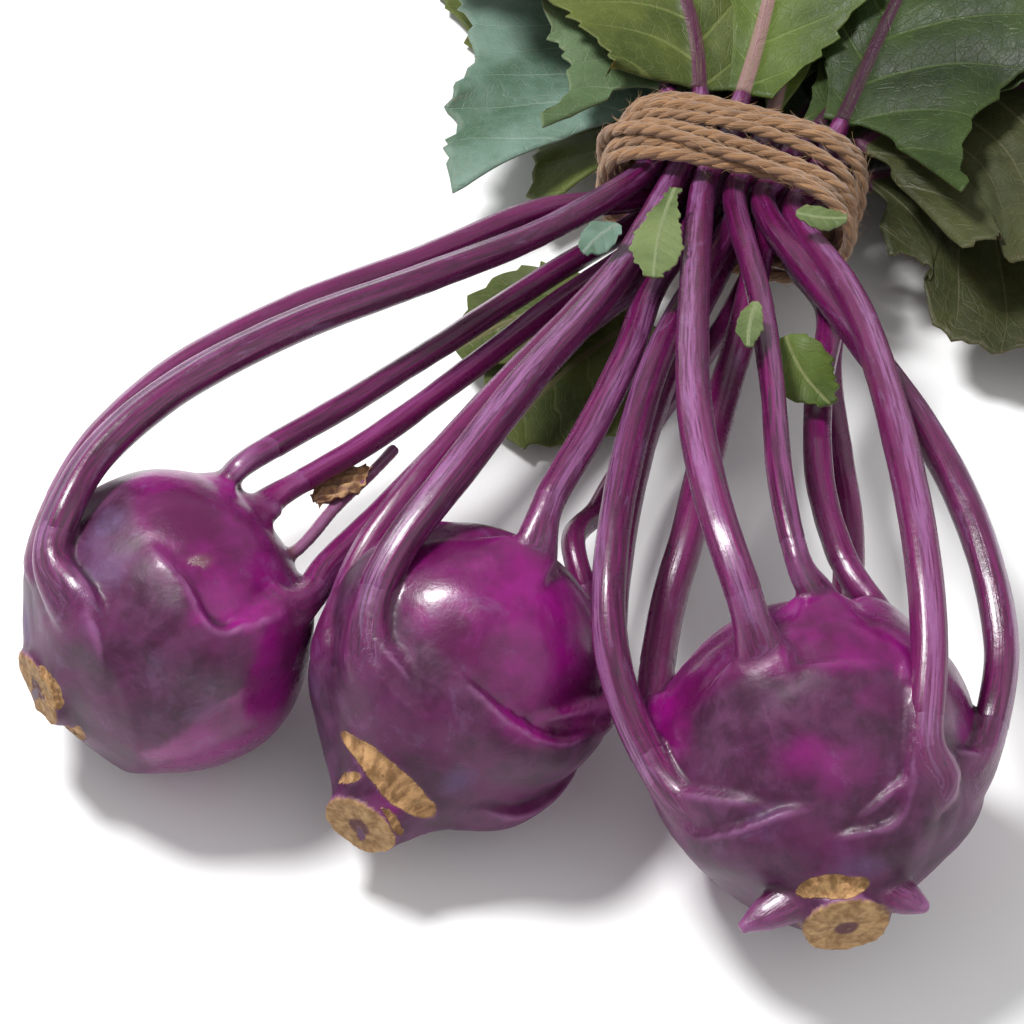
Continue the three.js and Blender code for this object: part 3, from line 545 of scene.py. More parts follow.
def settled_stalks():
    routes = [stalk_route(s) for s in STALKS]
    start = np.array([spline(route, np.linspace(0, 1, STALK_SAMPLES)) for route in routes])
    freedom = np.array([stalk_freedom(len(route)) for route in routes])
    places = np.arange(STALK_SAMPLES)
    radii = np.array([stalk_radius(s, places) for s in STALKS])
    own_bulb = np.array([s["bulb"] for s in STALKS])
    same_bulb = own_bulb[:, None] == own_bulb[None, :]
    moved = np.zeros_like(start)
    path = start
    for _ in range(SETTLE_PASSES):
        path = start + moved
        push = np.zeros_like(start)
        push_apart(path, radii, same_bulb, push)
        keep_off_bulbs(path, radii, own_bulb, push)
        keep_in_tie(path, radii, push)
        moved = moved + push * freedom[..., None]
        beside = np.zeros_like(moved)
        beside[:, 1:-1] = moved[:, :-2] + moved[:, 2:]
        moved = np.where(freedom[..., None] == 0, 0, 0.5 * moved + 0.25 * beside)
    return path


def stalk_line(s, path):
    """Fine middle line of a stalk with its frames and half sizes."""
    lift = np.linalg.norm(np.diff(path[:9], axis=0), axis=1).sum()
    fine = spline(path, np.linspace(0, 1, 600))
    points, place, along = evenly(fine, STALK_RINGS)
    sample = place / 599 * (STALK_SAMPLES - 1)
    bound = stalk_radius(s, sample)
    flare = 1 - ease(along, lift * 0.5, lift + 14)
    rise = ease(along, 0, lift)
    width = mix(bound, s["flare"], flare) * mix(0.5, 1, rise)
    thickness = mix(bound, bound * 0.8, flare) * mix(0.3, 1, rise)
    _, normal = on_bulb(BULBS[s["bulb"]], *s["ridge"])
    tangents, normals, sides = carried_frames(points, normal)
    return {
        "points": points, "tangents": tangents, "normals": normals, "sides": sides, "width": width,
        "thickness": thickness, "along": along, "lift": lift, "flare": flare,
    }


def stalk_body(line, groove):
    """A closed loft round a stalk's line, with a shallow groove along its outer face and soft ribs."""
    angle = 2 * np.pi * np.arange(STALK_SIDES) / STALK_SIDES
    ribs = 1 + 0.025 * np.sin(5 * angle)[None, :]
    top = np.exp(-((angle - 1.5 * np.pi) / 0.38) ** 2)[None, :]
    shape = ribs - groove * top * (1 - 0.6 * line["flare"])[:, None]
    across = (line["width"][:, None] * np.cos(angle)[None, :] * shape)[..., None]
    up = (line["thickness"][:, None] * np.sin(angle)[None, :] * shape)[..., None]
    points = line["points"][:, None] + line["sides"][:, None] * across - line["normals"][:, None] * up
    return points.reshape(-1, 3), tube_faces(len(line["points"]), STALK_SIDES)


def stretch_of(line, first, last, scale):
    """The rings of a line between two lengths, with their half sizes scaled."""
    keep = (line["along"] >= first) & (line["along"] <= last)
    part = {key: value[keep] for key, value in line.items() if isinstance(value, np.ndarray)}
    part["width"] = part["width"] * scale[keep]
    part["thickness"] = part["thickness"] * scale[keep]
    return part


def simple_line(route, width, thickness, rings=30):
    """A short free line such as a withered stalk or a root spur."""
    points, _, along = evenly(spline(route, np.linspace(0, 1, 200)), rings)
    tangents, normals, sides = carried_frames(points, UP)
    part = np.linspace(0, 1, rings)
    return {
        "points": points, "tangents": tangents, "normals": normals, "sides": sides,
        "width": np.interp(part, np.linspace(0, 1, len(width)), width),
        "thickness": np.interp(part, np.linspace(0, 1, len(thickness)), thickness),
        "along": along, "lift": 0.0, "flare": np.zeros(rings),
    }


def withered_line():
    start = on_bulb(BULBS["left"], 0.24, 24, -5)[0]
    way = [(-41, 25, 50), (-31, 43, 46.5), (-23, 55, 44.5), (-17, 65, 43)]
    return simple_line([start, *way], (1.7, 1.7), (1.5, 1.5))


def spur_lines():
    """Two short pointed stumps of lower roots beside the cut root end."""
    lines = []
    for t, phi, outward, width in ((0.84, -70, (-12, -6, -3), 7), (0.86, 60, (8, -5, -1), 7)):
        point, normal = on_bulb(BULBS["right"], t, phi)
        route = [point - normal * 5, point - normal * 2 + np.array(outward) * 0.3, point + np.array(outward)]
        lines.append(simple_line(route, (width, 5.4, 4, 1.4), (4.8, 3.8, 2.8, 0.9), 16))
    return lines


# One plant: bulb and stalks grown together

def remeshed(points, faces):
    """One skin round overlapping closed bodies, in millimetres."""
    mesh = mesh_of("rough", points, faces)
    rough = bpy.data.objects.new("rough", mesh)
    bpy.context.scene.collection.objects.link(rough)
    skin = rough.modifiers.new("skin", "REMESH")
    skin.mode = "VOXEL"
    skin.voxel_size = VOXEL
    skin.adaptivity = 0
    graph = bpy.context.evaluated_depsgraph_get()
    made = bpy.data.meshes.new_from_object(rough.evaluated_get(graph))
    bpy.data.objects.remove(rough)
    bpy.data.meshes.remove(mesh)
    return made


class Skin:
    """Points of a remeshed skin, with its edges for smoothing."""

    def __init__(self, mesh):
        self.mesh = mesh
        count = len(mesh.vertices)
        self.points = np.empty(count * 3)
        mesh.vertices.foreach_get("co", self.points)
        self.points = self.points.reshape(-1, 3)
        edges = np.empty(len(mesh.edges) * 2, int)
        mesh.edges.foreach_get("vertices", edges)
        self.edges = edges.reshape(-1, 2)
        self.degree = np.bincount(self.edges.ravel(), minlength=count)[:, None]
        self.faces = [list(face.vertices) for face in mesh.polygons]

    def beside(self, values):
        """Mean of each point's neighbours."""
        total = np.zeros_like(values)
        np.add.at(total, self.edges[:, 0], values[self.edges[:, 1]])
        np.add.at(total, self.edges[:, 1], values[self.edges[:, 0]])
        degree = self.degree if values.ndim == 2 else self.degree[:, 0]
        return total / degree

    def smooth(self, passes, keep=None):
        for _ in range(passes):
            step = 0.5 * (self.beside(self.points) - self.points)
            self.points = self.points + (step if keep is None else step * keep[:, None])

    def normals(self):
        self.mesh.vertices.foreach_set("co", self.points.ravel())
        self.mesh.update()
        normals = np.empty(len(self.points) * 3, np.float32)
        self.mesh.vertex_normals.foreach_get("vector", normals)
        return normals.reshape(-1, 3).astype(float)


def nearest(samples, points):
    """Index of the nearest sample to each point, and its distance."""
    tree = KDTree(len(samples))
    for i, sample in enumerate(samples):
        tree.insert(Vector(sample), i)
    tree.balance()
    found = [tree.find(Vector(p)) for p in points]
    return np.array([f[1] for f in found]), np.array([f[2] for f in found])


def bulb_places(bulb, points):
    """Crown-to-root place, angle and distance from the bulb of each point."""
    t = np.linspace(0.004, 1, 120)[:, None]
    phi = 360 * np.arange(180)[None, :] / 180
    samples, normals = on_bulb(bulb, t, phi)
    index, _ = nearest(samples.reshape(-1, 3), points)
    row, column = index // 180, index % 180
    away = ((points - samples[row, column]) * normals[row, column]).sum(-1)
    return t[row, 0], phi[0, column], away


def stalk_places(lines, points):
    """For each point the nearest line, its ring, the distance from the surface, the angle and the way along."""
    samples = np.vstack([line["points"] for line in lines])
    owner = np.concatenate([np.full(len(line["points"]), k) for k, line in enumerate(lines)])
    index, distance = nearest(samples, points)
    stacked = {key: np.concatenate([line[key] for line in lines]) for key in
               ("points", "tangents", "normals", "sides", "width", "thickness", "along", "flare")}
    away = points - stacked["points"][index]
    across = (away * stacked["sides"][index]).sum(-1)
    up = (away * stacked["normals"][index]).sum(-1)
    along = stacked["along"][index] + (away * stacked["tangents"][index]).sum(-1)
    size = np.hypot(across / stacked["width"][index], up / stacked["thickness"][index])
    beyond = (size - 1) * np.minimum(stacked["width"][index], stacked["thickness"][index])
    return owner[index], across, up, along, beyond, stacked["flare"][index]


def scar_masks(bulb, scars, points, grain):
    """How far each point is in a scar."""
    mask = np.zeros(len(points))
    for t, phi, half_length, half_height in scars:
        centre, normal = on_bulb(bulb, t, phi)
        round_way = unit(on_bulb(bulb, t, phi + 2)[0] - on_bulb(bulb, t, phi - 2)[0])
        down = np.cross(normal, round_way)
        away = points - centre
        x = (away @ round_way) / half_length
        y = (away @ down + 0.12 * half_height * np.sin(x * 4)) / (half_height * np.sqrt(np.clip(1 + 0.45 * x, 0.3, 1.6)))
        size = np.sqrt(x ** 2 + y ** 2) + 0.16 * grain
        near = np.abs(away @ normal) < 7
        mask = np.maximum(mask, np.where(near, 1 - ease(size, 0.82, 1.1), 0))
    return mask


def stub_and_free(line):
    """A stalk's part that grows together with the bulb, and the rest as its own fine loft."""
    end = line["lift"] + STUB_LENGTH
    along = line["along"]
    stub = stretch_of(line, 0, end + STUB_TAPER, 1 - 0.3 * ease(along, end, end + STUB_TAPER))
    free = stretch_of(line, end - 3, np.inf, mix(0.86, 1, ease(along, end - 3, end + 1)))
    return stub, free


def free_stalk(line, groove, tone, chalk):
    """Points, faces and attributes of the free part of a stalk."""
    points, faces = stalk_body(line, groove)
    rings = len(line["points"])
    away = points.reshape(rings, STALK_SIDES, 3) - line["points"][:, None]
    across = (away * line["sides"][:, None]).sum(-1)
    up = (away * line["normals"][:, None]).sum(-1)
    along = np.repeat(line["along"], STALK_SIDES)
    out = unit(away).reshape(-1, 3)
    rise = 0.18 * noises(points, 17, 1) + 0.08 * noises(points, 6, 2)
    count = len(points)
    angle = 2 * np.pi * np.arange(STALK_SIDES) / STALK_SIDES
    # The groove along a stalk gets a hollow value, which paints shade into it
    in_groove = np.tile(np.exp(-((angle - 1.5 * np.pi) / 0.3) ** 2), rings) * (groove > 0.1)
    attributes = {
        "stalk": np.ones(count), "along": np.clip(along / 150, 0, 2), "hollow": 0.35 * in_groove,
        "grain": np.stack([across.ravel(), up.ravel(), along], 1), "flare": np.repeat(line["flare"], STALK_SIDES),
        "tone": np.full(count, tone), "chalk": np.full(count, chalk), "outer": np.tile(-np.sin(angle), rings),
    }
    return points + out * rise[:, None], faces, attributes


SKIN_KEYS = ("stalk", "along", "haze", "wax", "scar", "cut", "hollow", "flare", "tone", "chalk", "heart", "outer", "dry")


def plant_piece(name, settled, material):
    bulb = BULBS[name]
    lines, free, tones = [], [], []
    parts = [bulb_body(name)]
    for k, (s, path) in enumerate(zip(STALKS, settled)):
        if s["bulb"] != name:
            continue
        line = stalk_line(s, path)
        groove = 0.16 if s["name"] == "La" else 0.05
        stub, rest = stub_and_free(line)
        tone = (k * 0.618) % 1
        chalk = float(ease(s["radius"], 3, 4.4))
        lines.append(stub)
        parts.append(stalk_body(stub, groove))
        free.append(free_stalk(rest, groove, tone, chalk))
        tones.append((tone, chalk, 0))
    extra = [withered_line()] if name == "left" else spur_lines() if name == "right" else []
    for line in extra:
        lines.append(line)
        parts.append(stalk_body(line, 0))
        tones.append((0.3, 0, name == "left"))
    skin = Skin(remeshed(*joined(parts)))
    skin.smooth(2)

    # Where each point is: on the bulb or on a stalk, and where there
    t, phi, off_bulb = bulb_places(bulb, skin.points)
    owner, across, up, along, off_stalk, flare = stalk_places(lines, skin.points)
    raised = shelf_height(name, t, phi)
    stalk = ease(off_bulb - 0.85 * raised - off_stalk, -1.2, 1.6)
    normals = skin.normals()

    # Uneven skin, leaf scars and the rough cut root end
    coarse = noises(skin.points, 17, 1)
    middle = noises(skin.points, 6, 2)
    fine = noises(skin.points, 2.1, 3)
    scar = scar_masks(bulb, SCARS[name], skin.points, 0.7 * middle + 0.4 * fine) * (1 - stalk)
    cut = ease(t, 0.975, 0.992) * (1 - stalk)
    root = ease(t, 0.6, 0.95) * (1 - stalk)
    rise = 0.5 * coarse * (1 - 0.7 * stalk) + (0.12 + 0.3 * root) * middle * (1 - 0.5 * stalk)
    rise = rise + scar * (-0.5 + 0.22 * fine + 0.2 * middle) + cut * (0.15 * fine + 0.3 * middle)
    rim = scar * (1 - scar) * 4
    rise = rise + 0.4 * rim
    on_floor = ease(skin.points[:, 2], 0.3, 3)
    skin.points = skin.points + normals * (rise * on_floor)[:, None]
    skin.smooth(1, 0.6 * np.ones(len(skin.points)))

    # Hollows are above zero and edges below it; the skin's colour paints shade into the hollows and makes the edges
    # paler, partly as a painted highlight
    even = skin.points
    for _ in range(14):
        even = even + 0.5 * (skin.beside(even) - even)
    hollow = ((even - skin.points) * skin.normals()).sum(-1)

    own = np.array(tones)[owner]
    root_end, _ = on_bulb(bulb, 1.0, 0.0)
    root_other, _ = on_bulb(bulb, 1.0, 180.0)
    from_heart = np.linalg.norm(skin.points - (root_end + root_other) / 2, axis=1)
    grain = np.stack([across, up, along], 1) * stalk[:, None]
    round_bulb = np.stack([np.cos(np.radians(phi)) * 30, np.sin(np.radians(phi)) * 30, t * 20], 1)
    grain = grain + round_bulb * (1 - stalk)[:, None]
    attributes = {
        "stalk": stalk, "along": np.clip(along / 150, 0, 2) * stalk, "scar": scar, "cut": cut, "hollow": hollow,
        "haze": haze_mask(name, t, phi, stalk, coarse, middle, skin.points), "grain": grain,
        "wax": patch_mask(bulb, WAX[name], skin.points, middle) * (1 - 0.7 * stalk),
        "flare": flare * stalk, "tone": mix(0.5, own[:, 0], stalk), "chalk": mix(0.3, own[:, 1], stalk),
        "heart": (1 - ease(from_heart, 1.5, 4)) * cut, "dry": own[:, 2] * stalk,
        "outer": np.clip(up / np.hypot(across, up), -1, 1) * stalk * (1 - flare),
    }
    whole = [(skin.points, skin.faces)] + [(points, faces) for points, faces, _ in free]
    points, faces = joined(whole)
    points[:, 2] = np.maximum(points[:, 2], 0)
    merged = {}
    for key in SKIN_KEYS:
        merged[key] = np.concatenate([attributes[key]] + [one.get(key, np.zeros(len(p))) for p, _, one in free])
    merged["grain"] = np.vstack([attributes["grain"]] + [one["grain"] for _, _, one in free])
    add_piece(f"kohlrabi_{name}_skin", points, faces, material, [f"kohlrabi_{name}"], merged)


def haze_mask(name, t, phi, stalk, coarse, middle, points):
    """Duller skin below the stalk bases; the crown side and some patches stay bright."""
    angles, places = zip(*DULL_FROM[name])
    edge = np.interp((phi + 180) % 360 - 180, angles, places)
    haze = ease(t + 0.022 * coarse + 0.012 * middle, edge - 0.012, edge + 0.035)
    bright = patch_mask(BULBS[name], BRIGHT[name], points, middle)
    return haze * (1 - 0.75 * stalk) * (1 - 0.8 * bright)


def patch_mask(bulb, patches, points, middle):
    """How far each point is in one of some ragged round patches."""
    mask = np.zeros(len(points))
    for t, phi, radius in patches:
        centre, _ = on_bulb(bulb, t, phi)
        away = np.linalg.norm(points - centre, axis=1) / radius
        mask = np.maximum(mask, 1 - ease(away + 0.45 * middle, 0.1, 1.25))
    return mask


# Leaf blades

# Half width of each side of a blade from its base 0 to its tip 1. An open side has a lobe that sweeps back outside
# the bunch, an over side a small lobe that sweeps back over the stalks beside it, a close side has none.
OUTER_HALF = [(0.55, 0.97), (0.75, 0.8), (0.9, 0.48), (1, 0.06)]
# Each side: how far its lobe sweeps back, how far it is lifted, and its widths
SIDES = {
    "open": (22, 0, [(0, 0.85), (0.08, 0.8), (0.2, 0.74), (0.35, 0.72), *OUTER_HALF]),
    "open_deep": (
        36, 0, [(0, 1.2), (0.06, 1.55), (0.13, 1.2), (0.2, 1.25), (0.28, 1.4), (0.4, 1.15), *OUTER_HALF]),
    "open_round": (27, 0, [(0, 0.85), (0.08, 0.8), (0.2, 0.9), (0.35, 0.95), *OUTER_HALF]),
    "open_broad": (
        10, 0, [(0, 0.95), (0.08, 1.1), (0.2, 1.25), (0.35, 1.3), (0.55, 1.15), (0.75, 0.85), (0.9, 0.48), (1, 0.06)]),
    "open_late": (
        8, 0, [(0, 0.7), (0.08, 0.8), (0.2, 1.05), (0.35, 1.3), (0.55, 1.2), (0.75, 0.85), (0.9, 0.48), (1, 0.06)]),
    "over": (9, 7, [(0, 0.4), (0.08, 0.5), (0.2, 0.7), (0.35, 0.93), *OUTER_HALF]),
    "half": (0, 0, [(0, 0.15), (0.05, 0.4), (0.2, 0.65), (0.35, 0.93), *OUTER_HALF]),
    "narrow": (0, 0, [(0, 0.1), (0.08, 0.14), (0.2, 0.32), (0.35, 0.6), *OUTER_HALF]),
    "close": (0, 0, [(0, 0.1), (0.08, 0.2), (0.2, 0.55), (0.35, 0.93), *OUTER_HALF]),
}
LEFT_SIDES = {
    "bottom": ("open_round", "close", "close", "close", "close", "close"),
    "middle": ("open_deep", "close", "close", "close", "close", "close"),
    "top": ("open", "over", "narrow", "close", "close", "close"),
}
RIGHT_SIDES = {
    "bottom": ("close", "close", "close", "close", "close", "open_late"),
    "middle": ("close", "close", "close", "close", "close", "open_broad"),
    "top": ("close", "half", "half", "close", "close", "open_round"),
}


def beside_tie(points):
    """Moves points of a lobe that would meet the twine out beside it."""
    away = points - TIE_CENTRE
    across = away @ TIE_ACROSS
    clear = TIE_HALF_WIDTH + TWINE_RADIUS * 3 + 1.5
    near = 1 - ease(np.abs(away @ TIE_ALONG), BAND_HALF + 2, BAND_HALF + 10)
    short = clear - np.abs(across)
    moves = (near > 0) & (short > 0) & (np.abs(across) >= TIE_HALF_WIDTH * 0.55)
    shift = np.where(moves, np.sign(across) * short * near, 0)
    return points + TIE_ACROSS * shift[..., None]


def teeth(along, seed):
    """Uneven saw teeth of a margin, from 0 between teeth to 1 at a tip."""
    place = along / 7.5 + 0.35 * np.sin(along / 9 + seed) + 0.2 * np.sin(along / 4.1 + 2 * seed)
    part = place % 1
    size = 0.6 + 0.4 * np.sin(np.floor(place) * 2.4 + seed)
    return size * np.where(part < 0.72, part / 0.72, (1 - part) / 0.28)


def margin_columns(half):
    """Columns from the midrib 0 to the margin 1, closer at both."""
    s = np.linspace(0, 1, half + 1)[1:]
    right = 0.75 * s + 0.25 * np.sin(s * np.pi / 2)
    return np.concatenate([-right[::-1], [0], right])


def blade_piece(number, settled, material, rows, half):
    s = STALKS[number]
    layer = LAYERS[s["row"]][s["column"]]
    name = f"leaf_{s['row']}_{s['column'] + 1}"
    azimuth_end = LEAF_AZIMUTHS[s["row"]][s["column"]]
    heading = mix(TIE_AZIMUTH, azimuth_end, TURN_BEFORE_BLADE)
    start = settled[number][-1] + heading_of(np.array(float(heading))) * BLADE_GAP
    grown = (148 + 5 * ((number * 7) % 5) - (12 if s["row"] == "bottom" else 0), 40 + 2.5 * ((number * 3) % 4))
    length, half_width = YOUNG_LEAVES.get((s["row"], s["column"]), grown)
    phase = number * 1.9
    left = SIDES[LEFT_SIDES[s["row"]][s["column"]]]
    right = SIDES[RIGHT_SIDES[s["row"]][s["column"]]]

    u = np.linspace(0, 1, rows)
    v = margin_columns(half)[None, :]
    azimuth = mix(heading, azimuth_end, ease(u, 0, 0.35))
    along = heading_of(azimuth)
    steps = along * (length / (rows - 1))
    steps[0] = 0
    centre = start + np.cumsum(steps, axis=0)
    across = np.stack([along[:, 1], -along[:, 0], np.zeros(rows)], 1)
    u = u[:, None]
    onto_left = v < 0
    side_width = np.where(onto_left, smooth_table(left[2], u), smooth_table(right[2], u))
    sweep_size = np.where(onto_left, left[0], right[0])
    lift_size = np.where(onto_left, left[1], right[1])
    lobes = 1 + 0.07 * np.sin(u * 21 + phase + np.where(onto_left, 2, 0))
    plain_reach = half_width * side_width * lobes
    margin = ease(np.abs(v), 0.72, 1)
    tooth = teeth(u * length + 0 * v, phase + onto_left * 2.0)
    reach = plain_reach + (3.4 * tooth - 1.9) * margin * ease(plain_reach, 4, 16)
    sweep = sweep_size * np.maximum(0, np.abs(v) - 0.12) ** 1.3 * (1 - u) ** 2
    points = centre[:, None] + across[:, None] * (v * reach)[..., None] - along[:, None] * sweep[..., None]
    points = beside_tie(points)
    low, gap, _ = layer_height(layer, points[..., 0], points[..., 1])
    far = ease(away_from_tie(points[..., 0], points[..., 1]), 34, 80)
    wave = np.sin(u * 15 + phase + np.where(onto_left, 1.7, 0)) * v ** 2
    wave = wave + 0.35 * np.sin(u * 5 + phase) * (1 - v ** 2)
    frill = 0.12 * np.sin(u * 38 + 2 * phase + np.where(onto_left, 1, 0)) * np.abs(v) ** 3
    lift = lift_size * np.abs(v) * (1 - ease(u, 0, 0.3))
    height = low + gap * (layer + (RUFFLE * wave + frill) * far) + lift

    # Veins leave the midrib at a slant and bend toward the tip
    wide = np.abs(v) * plain_reach
    down = u * length
    vein = (down - 0.8 * wide + 0.0035 * wide ** 2) / VEIN_PITCH + 0.5 * onto_left
    vein = vein + 0.1 * np.sin(down / 13 + phase) + 0.06 * np.sin(wide / 7 + phase)
    from_vein = np.abs((vein + 0.5) % 1 - 0.5) * VEIN_PITCH * 0.78
    groove = np.exp(-((from_vein / 1.0) ** 2)) * (1 - 0.55 * np.abs(v)) * ease(wide, 0.5, 4)
    puff = np.sin(np.pi * vein) ** 2 * ease(wide, 1, 9) * (1 - 0.5 * np.abs(v))
    rib = np.exp(-((wide / mix(2.1, 0.9, u)) ** 2))
    rib_over = mix(1.3, 0.35, u) * rib
    rib_under = mix(1.7, 0.5, u) * rib
    room = 0.12 * gap
    thin = BLADE_THICKNESS * (1 - 0.35 * ease(np.abs(v), 0.85, 1))
    surface = height + np.minimum(0.75, room) * (puff - 0.5) - np.minimum(0.4, room) * groove
    under = surface - thin / 2 - rib_under - np.minimum(0.3, room) * groove
    under = np.maximum(under, 0)
    over = np.maximum(under + 0.5, surface + thin / 2 + rib_over)
    lower, upper = points.copy(), points.copy()
    lower[..., 2] = under
    upper[..., 2] = over
    columns = v.shape[1]
    faces = slab_faces(rows, columns)
    zeros = np.zeros((rows, columns))
    leaf = np.stack([vein, wide + zeros, down + zeros], -1).reshape(-1, 3)
    edge = (np.abs(v) + zeros).ravel()
    count = rows * columns
    attributes = {
        "leaf": np.vstack([leaf, leaf]),
        "edge": np.concatenate([edge, edge]),
        "under": np.concatenate([np.ones(count), np.zeros(count)]),
        "small": np.zeros(2 * count),
    }
    both = np.vstack([lower.reshape(-1, 3), upper.reshape(-1, 3)])
    return add_piece(f"{name}_blade", both, faces, material, [name], attributes)


def smooth_table(table, u):
    """Values of a table of (place, value) with its corners rounded."""
    places = [row[0] for row in table]
    values = [row[1] for row in table]
    spread = (-0.05, -0.025, 0, 0.025, 0.05)
    return sum(np.interp(np.clip(u + d, 0, 1), places, values) for d in spread) / len(spread)


def slab_faces(rows, columns):
    """Faces of two like grids, lower and upper, joined round the edge."""
    count = rows * columns
    i = np.arange(rows - 1)[:, None] * columns
    j = np.arange(columns - 1)[None, :]
    quads = np.stack([i + j, i + j + 1, i + columns + j + 1, i + columns + j], -1).reshape(-1, 4)
    faces = (quads + count).tolist() + quads[:, ::-1].tolist()
    edge = list(range(columns - 1))
    edge += [k * columns + columns - 1 for k in range(rows - 1)]
    edge += [(rows - 1) * columns + k for k in range(columns - 1, 0, -1)]
    edge += [k * columns for k in range(rows - 1, 0, -1)]
    for k, a in enumerate(edge):
        b = edge[(k + 1) % len(edge)]
        faces.append([a, b, b + count, a + count])
    return faces


# Small leaflets low on the stalks, near the tie: start and tip of each, half width, where it is widest, and wave
LEAFLETS = {
    "leaflet_left_pale": ((54, 137, 62), (47, 94, 74), 6, 0.66, 0.6),
    "leaflet_left_round": ((39, 119, 67), (30, 109, 67), 4.5, 0.5, 0.6),
    "leaflet_centre_pale": ((72, 84, 75.5), (69, 66, 79), 3, 0.5, 0.3),
    "leaflet_right_round": ((80, 85, 62), (90, 65, 59), 8, 0.45, 1.4),
    "leaflet_right_pale": ((85, 130, 60), (98, 128, 60), 3.8, 0.5, 0.6),
    "leaf_folded_under": ((47, 140, 10), (10, 102, 5), 23, 0.5, 1.4),
    "leaf_folded_left": ((38, 147, 15), (-3, 127, 11.5), 15.5, 0.52, 1.2),
    "dry_leaf_scrap": ((-23.5, 55.5, 46.4), (-36, 42.5, 48.9), 4.8, 0.5, 0),
}


def leaflet_piece(name, material):
    start, tip, half, widest, wave = LEAFLETS[name]
    start, tip = np.array(start, float), np.array(tip, float)
    big = half > 10
    dry = name.startswith("dry")
    rows, columns = (90, 61) if big else (44, 27)
    along = tip - start
    length = np.linalg.norm(along)
    across = unit(np.array([along[1], -along[0], 0]))
    u = np.linspace(0, 1, rows)[:, None]
    v = np.linspace(-1, 1, columns)[None, :]
    seed = len(name) * 0.7
    lean = math.log(0.5) / math.log(widest)
    plain_reach = half * (0.25 + 0.85 * np.sin(np.pi * np.clip(u, 0.02, 0.96) ** lean))
    tooth_scale = 1.0 if big else 2.2
    tooth = teeth(u * length * tooth_scale + 0 * v, seed + (v < 0) * 2.0)
    size = 0.13 * half if not big else 1.9
    reach = plain_reach + size * (1.7 * tooth - 0.7) * ease(np.abs(v), 0.6, 1)
    bend = 0.12 * half * np.sin(u * np.pi) * (1 if big else 1.6)
    points = start + along * u[..., None] + across * (v * reach + bend)[..., None]
    height = points[..., 2] + wave * v ** 2 * np.sin(u * 7)
    if dry:
        height = height + 1.1 * np.sin(u * 9 + v * 5) * np.abs(v) + 0.5 * np.sin(u * 21 - v * 9)
    wide = np.abs(v) * plain_reach
    down = u * length
    pitch = VEIN_PITCH if big else half * 0.8
    vein = (down - 0.8 * wide) / pitch + 0.5 * (v < 0) + 0.05 * np.sin(wide + seed)
    from_vein = np.abs((vein + 0.5) % 1 - 0.5) * pitch * 0.78
    groove = np.exp(-((from_vein / (0.09 * pitch + 0.1)) ** 2)) * ease(wide, 0.3, 1.5)
    rib = np.exp(-((wide / (0.09 * half)) ** 2))
    surface = height - 0.16 * groove + 0.12 * np.sin(np.pi * vein) ** 2
    under = np.maximum(surface - 0.33 - 0.3 * rib, 0)
    over = np.maximum(under + 0.5, surface + 0.33 + 0.1 * rib)
    lower, upper = points.copy(), points.copy()
    lower[..., 2] = under
    upper[..., 2] = over
    zeros = np.zeros((rows, columns))
    leaf = np.stack([vein + zeros, wide + zeros, down + zeros], -1).reshape(-1, 3)
    edge = (np.abs(v) + zeros).ravel()
    count = rows * columns
    attributes = {
        "leaf": np.vstack([leaf, leaf]),
        "edge": np.concatenate([edge, edge]),
        "under": np.concatenate([np.ones(count), np.zeros(count)]),
        "small": np.full(2 * count, 0.6 if big else 1.0),
    }
    both = np.vstack([lower.reshape(-1, 3), upper.reshape(-1, 3)])
    return add_piece(f"{name}_fine", both, slab_faces(rows, columns), material, [name], attributes)


# Twine

def ring_point(turn, along, outward):
    """A point of the flattened ring round the tie."""
    angle = 2 * np.pi * turn
    c, s = np.cos(angle), np.sin(angle)
    size = (np.abs(c) ** TIE_SQUARENESS + np.abs(s) ** TIE_SQUARENESS) ** (-1 / TIE_SQUARENESS)
    return (
        TIE_CENTRE
        + TIE_ACROSS * ((TIE_HALF_WIDTH + outward) * size * c)[..., None]
        + UP * ((TIE_HALF_HEIGHT + outward) * size * s)[..., None]
        + TIE_ALONG * along[..., None]
    )


def twine_path():
    """One length: six turns side by side, then a turn crossing over them."""
    span = TWINE_TURNS * TWINE_PITCH
    turn = np.linspace(0, TWINE_TURNS, 1300)
    fade = np.sin(np.pi * turn / TWINE_TURNS) ** 0.5
    wander = (2.1 * np.sin(2 * np.pi * turn * 0.83 + 1) + 0.8 * np.sin(2 * np.pi * turn * 2.7)) * fade
    outward = 0.7 - 0.7 * np.cos(np.pi * turn) + 0.3 * np.sin(turn * 9)
    under = ring_point(turn - 0.1, span / 2 - turn * TWINE_PITCH + wander, outward * fade)
    turn = np.linspace(0, TWINE_OVER_TURNS, 220)[1:]
    along = -span / 2 + span * 0.8 * ease(turn, 0.16, TWINE_OVER_TURNS)
    over = ring_point(TWINE_TURNS + turn - 0.1, along, (2 * TWINE_RADIUS + 0.1) * ease(turn, 0, 0.14))
    path = np.vstack([under, over])
    length = np.linalg.norm(np.diff(path, axis=0), axis=1).sum()
    points, _, along = evenly(path, int(length / 0.95))
    return points, along


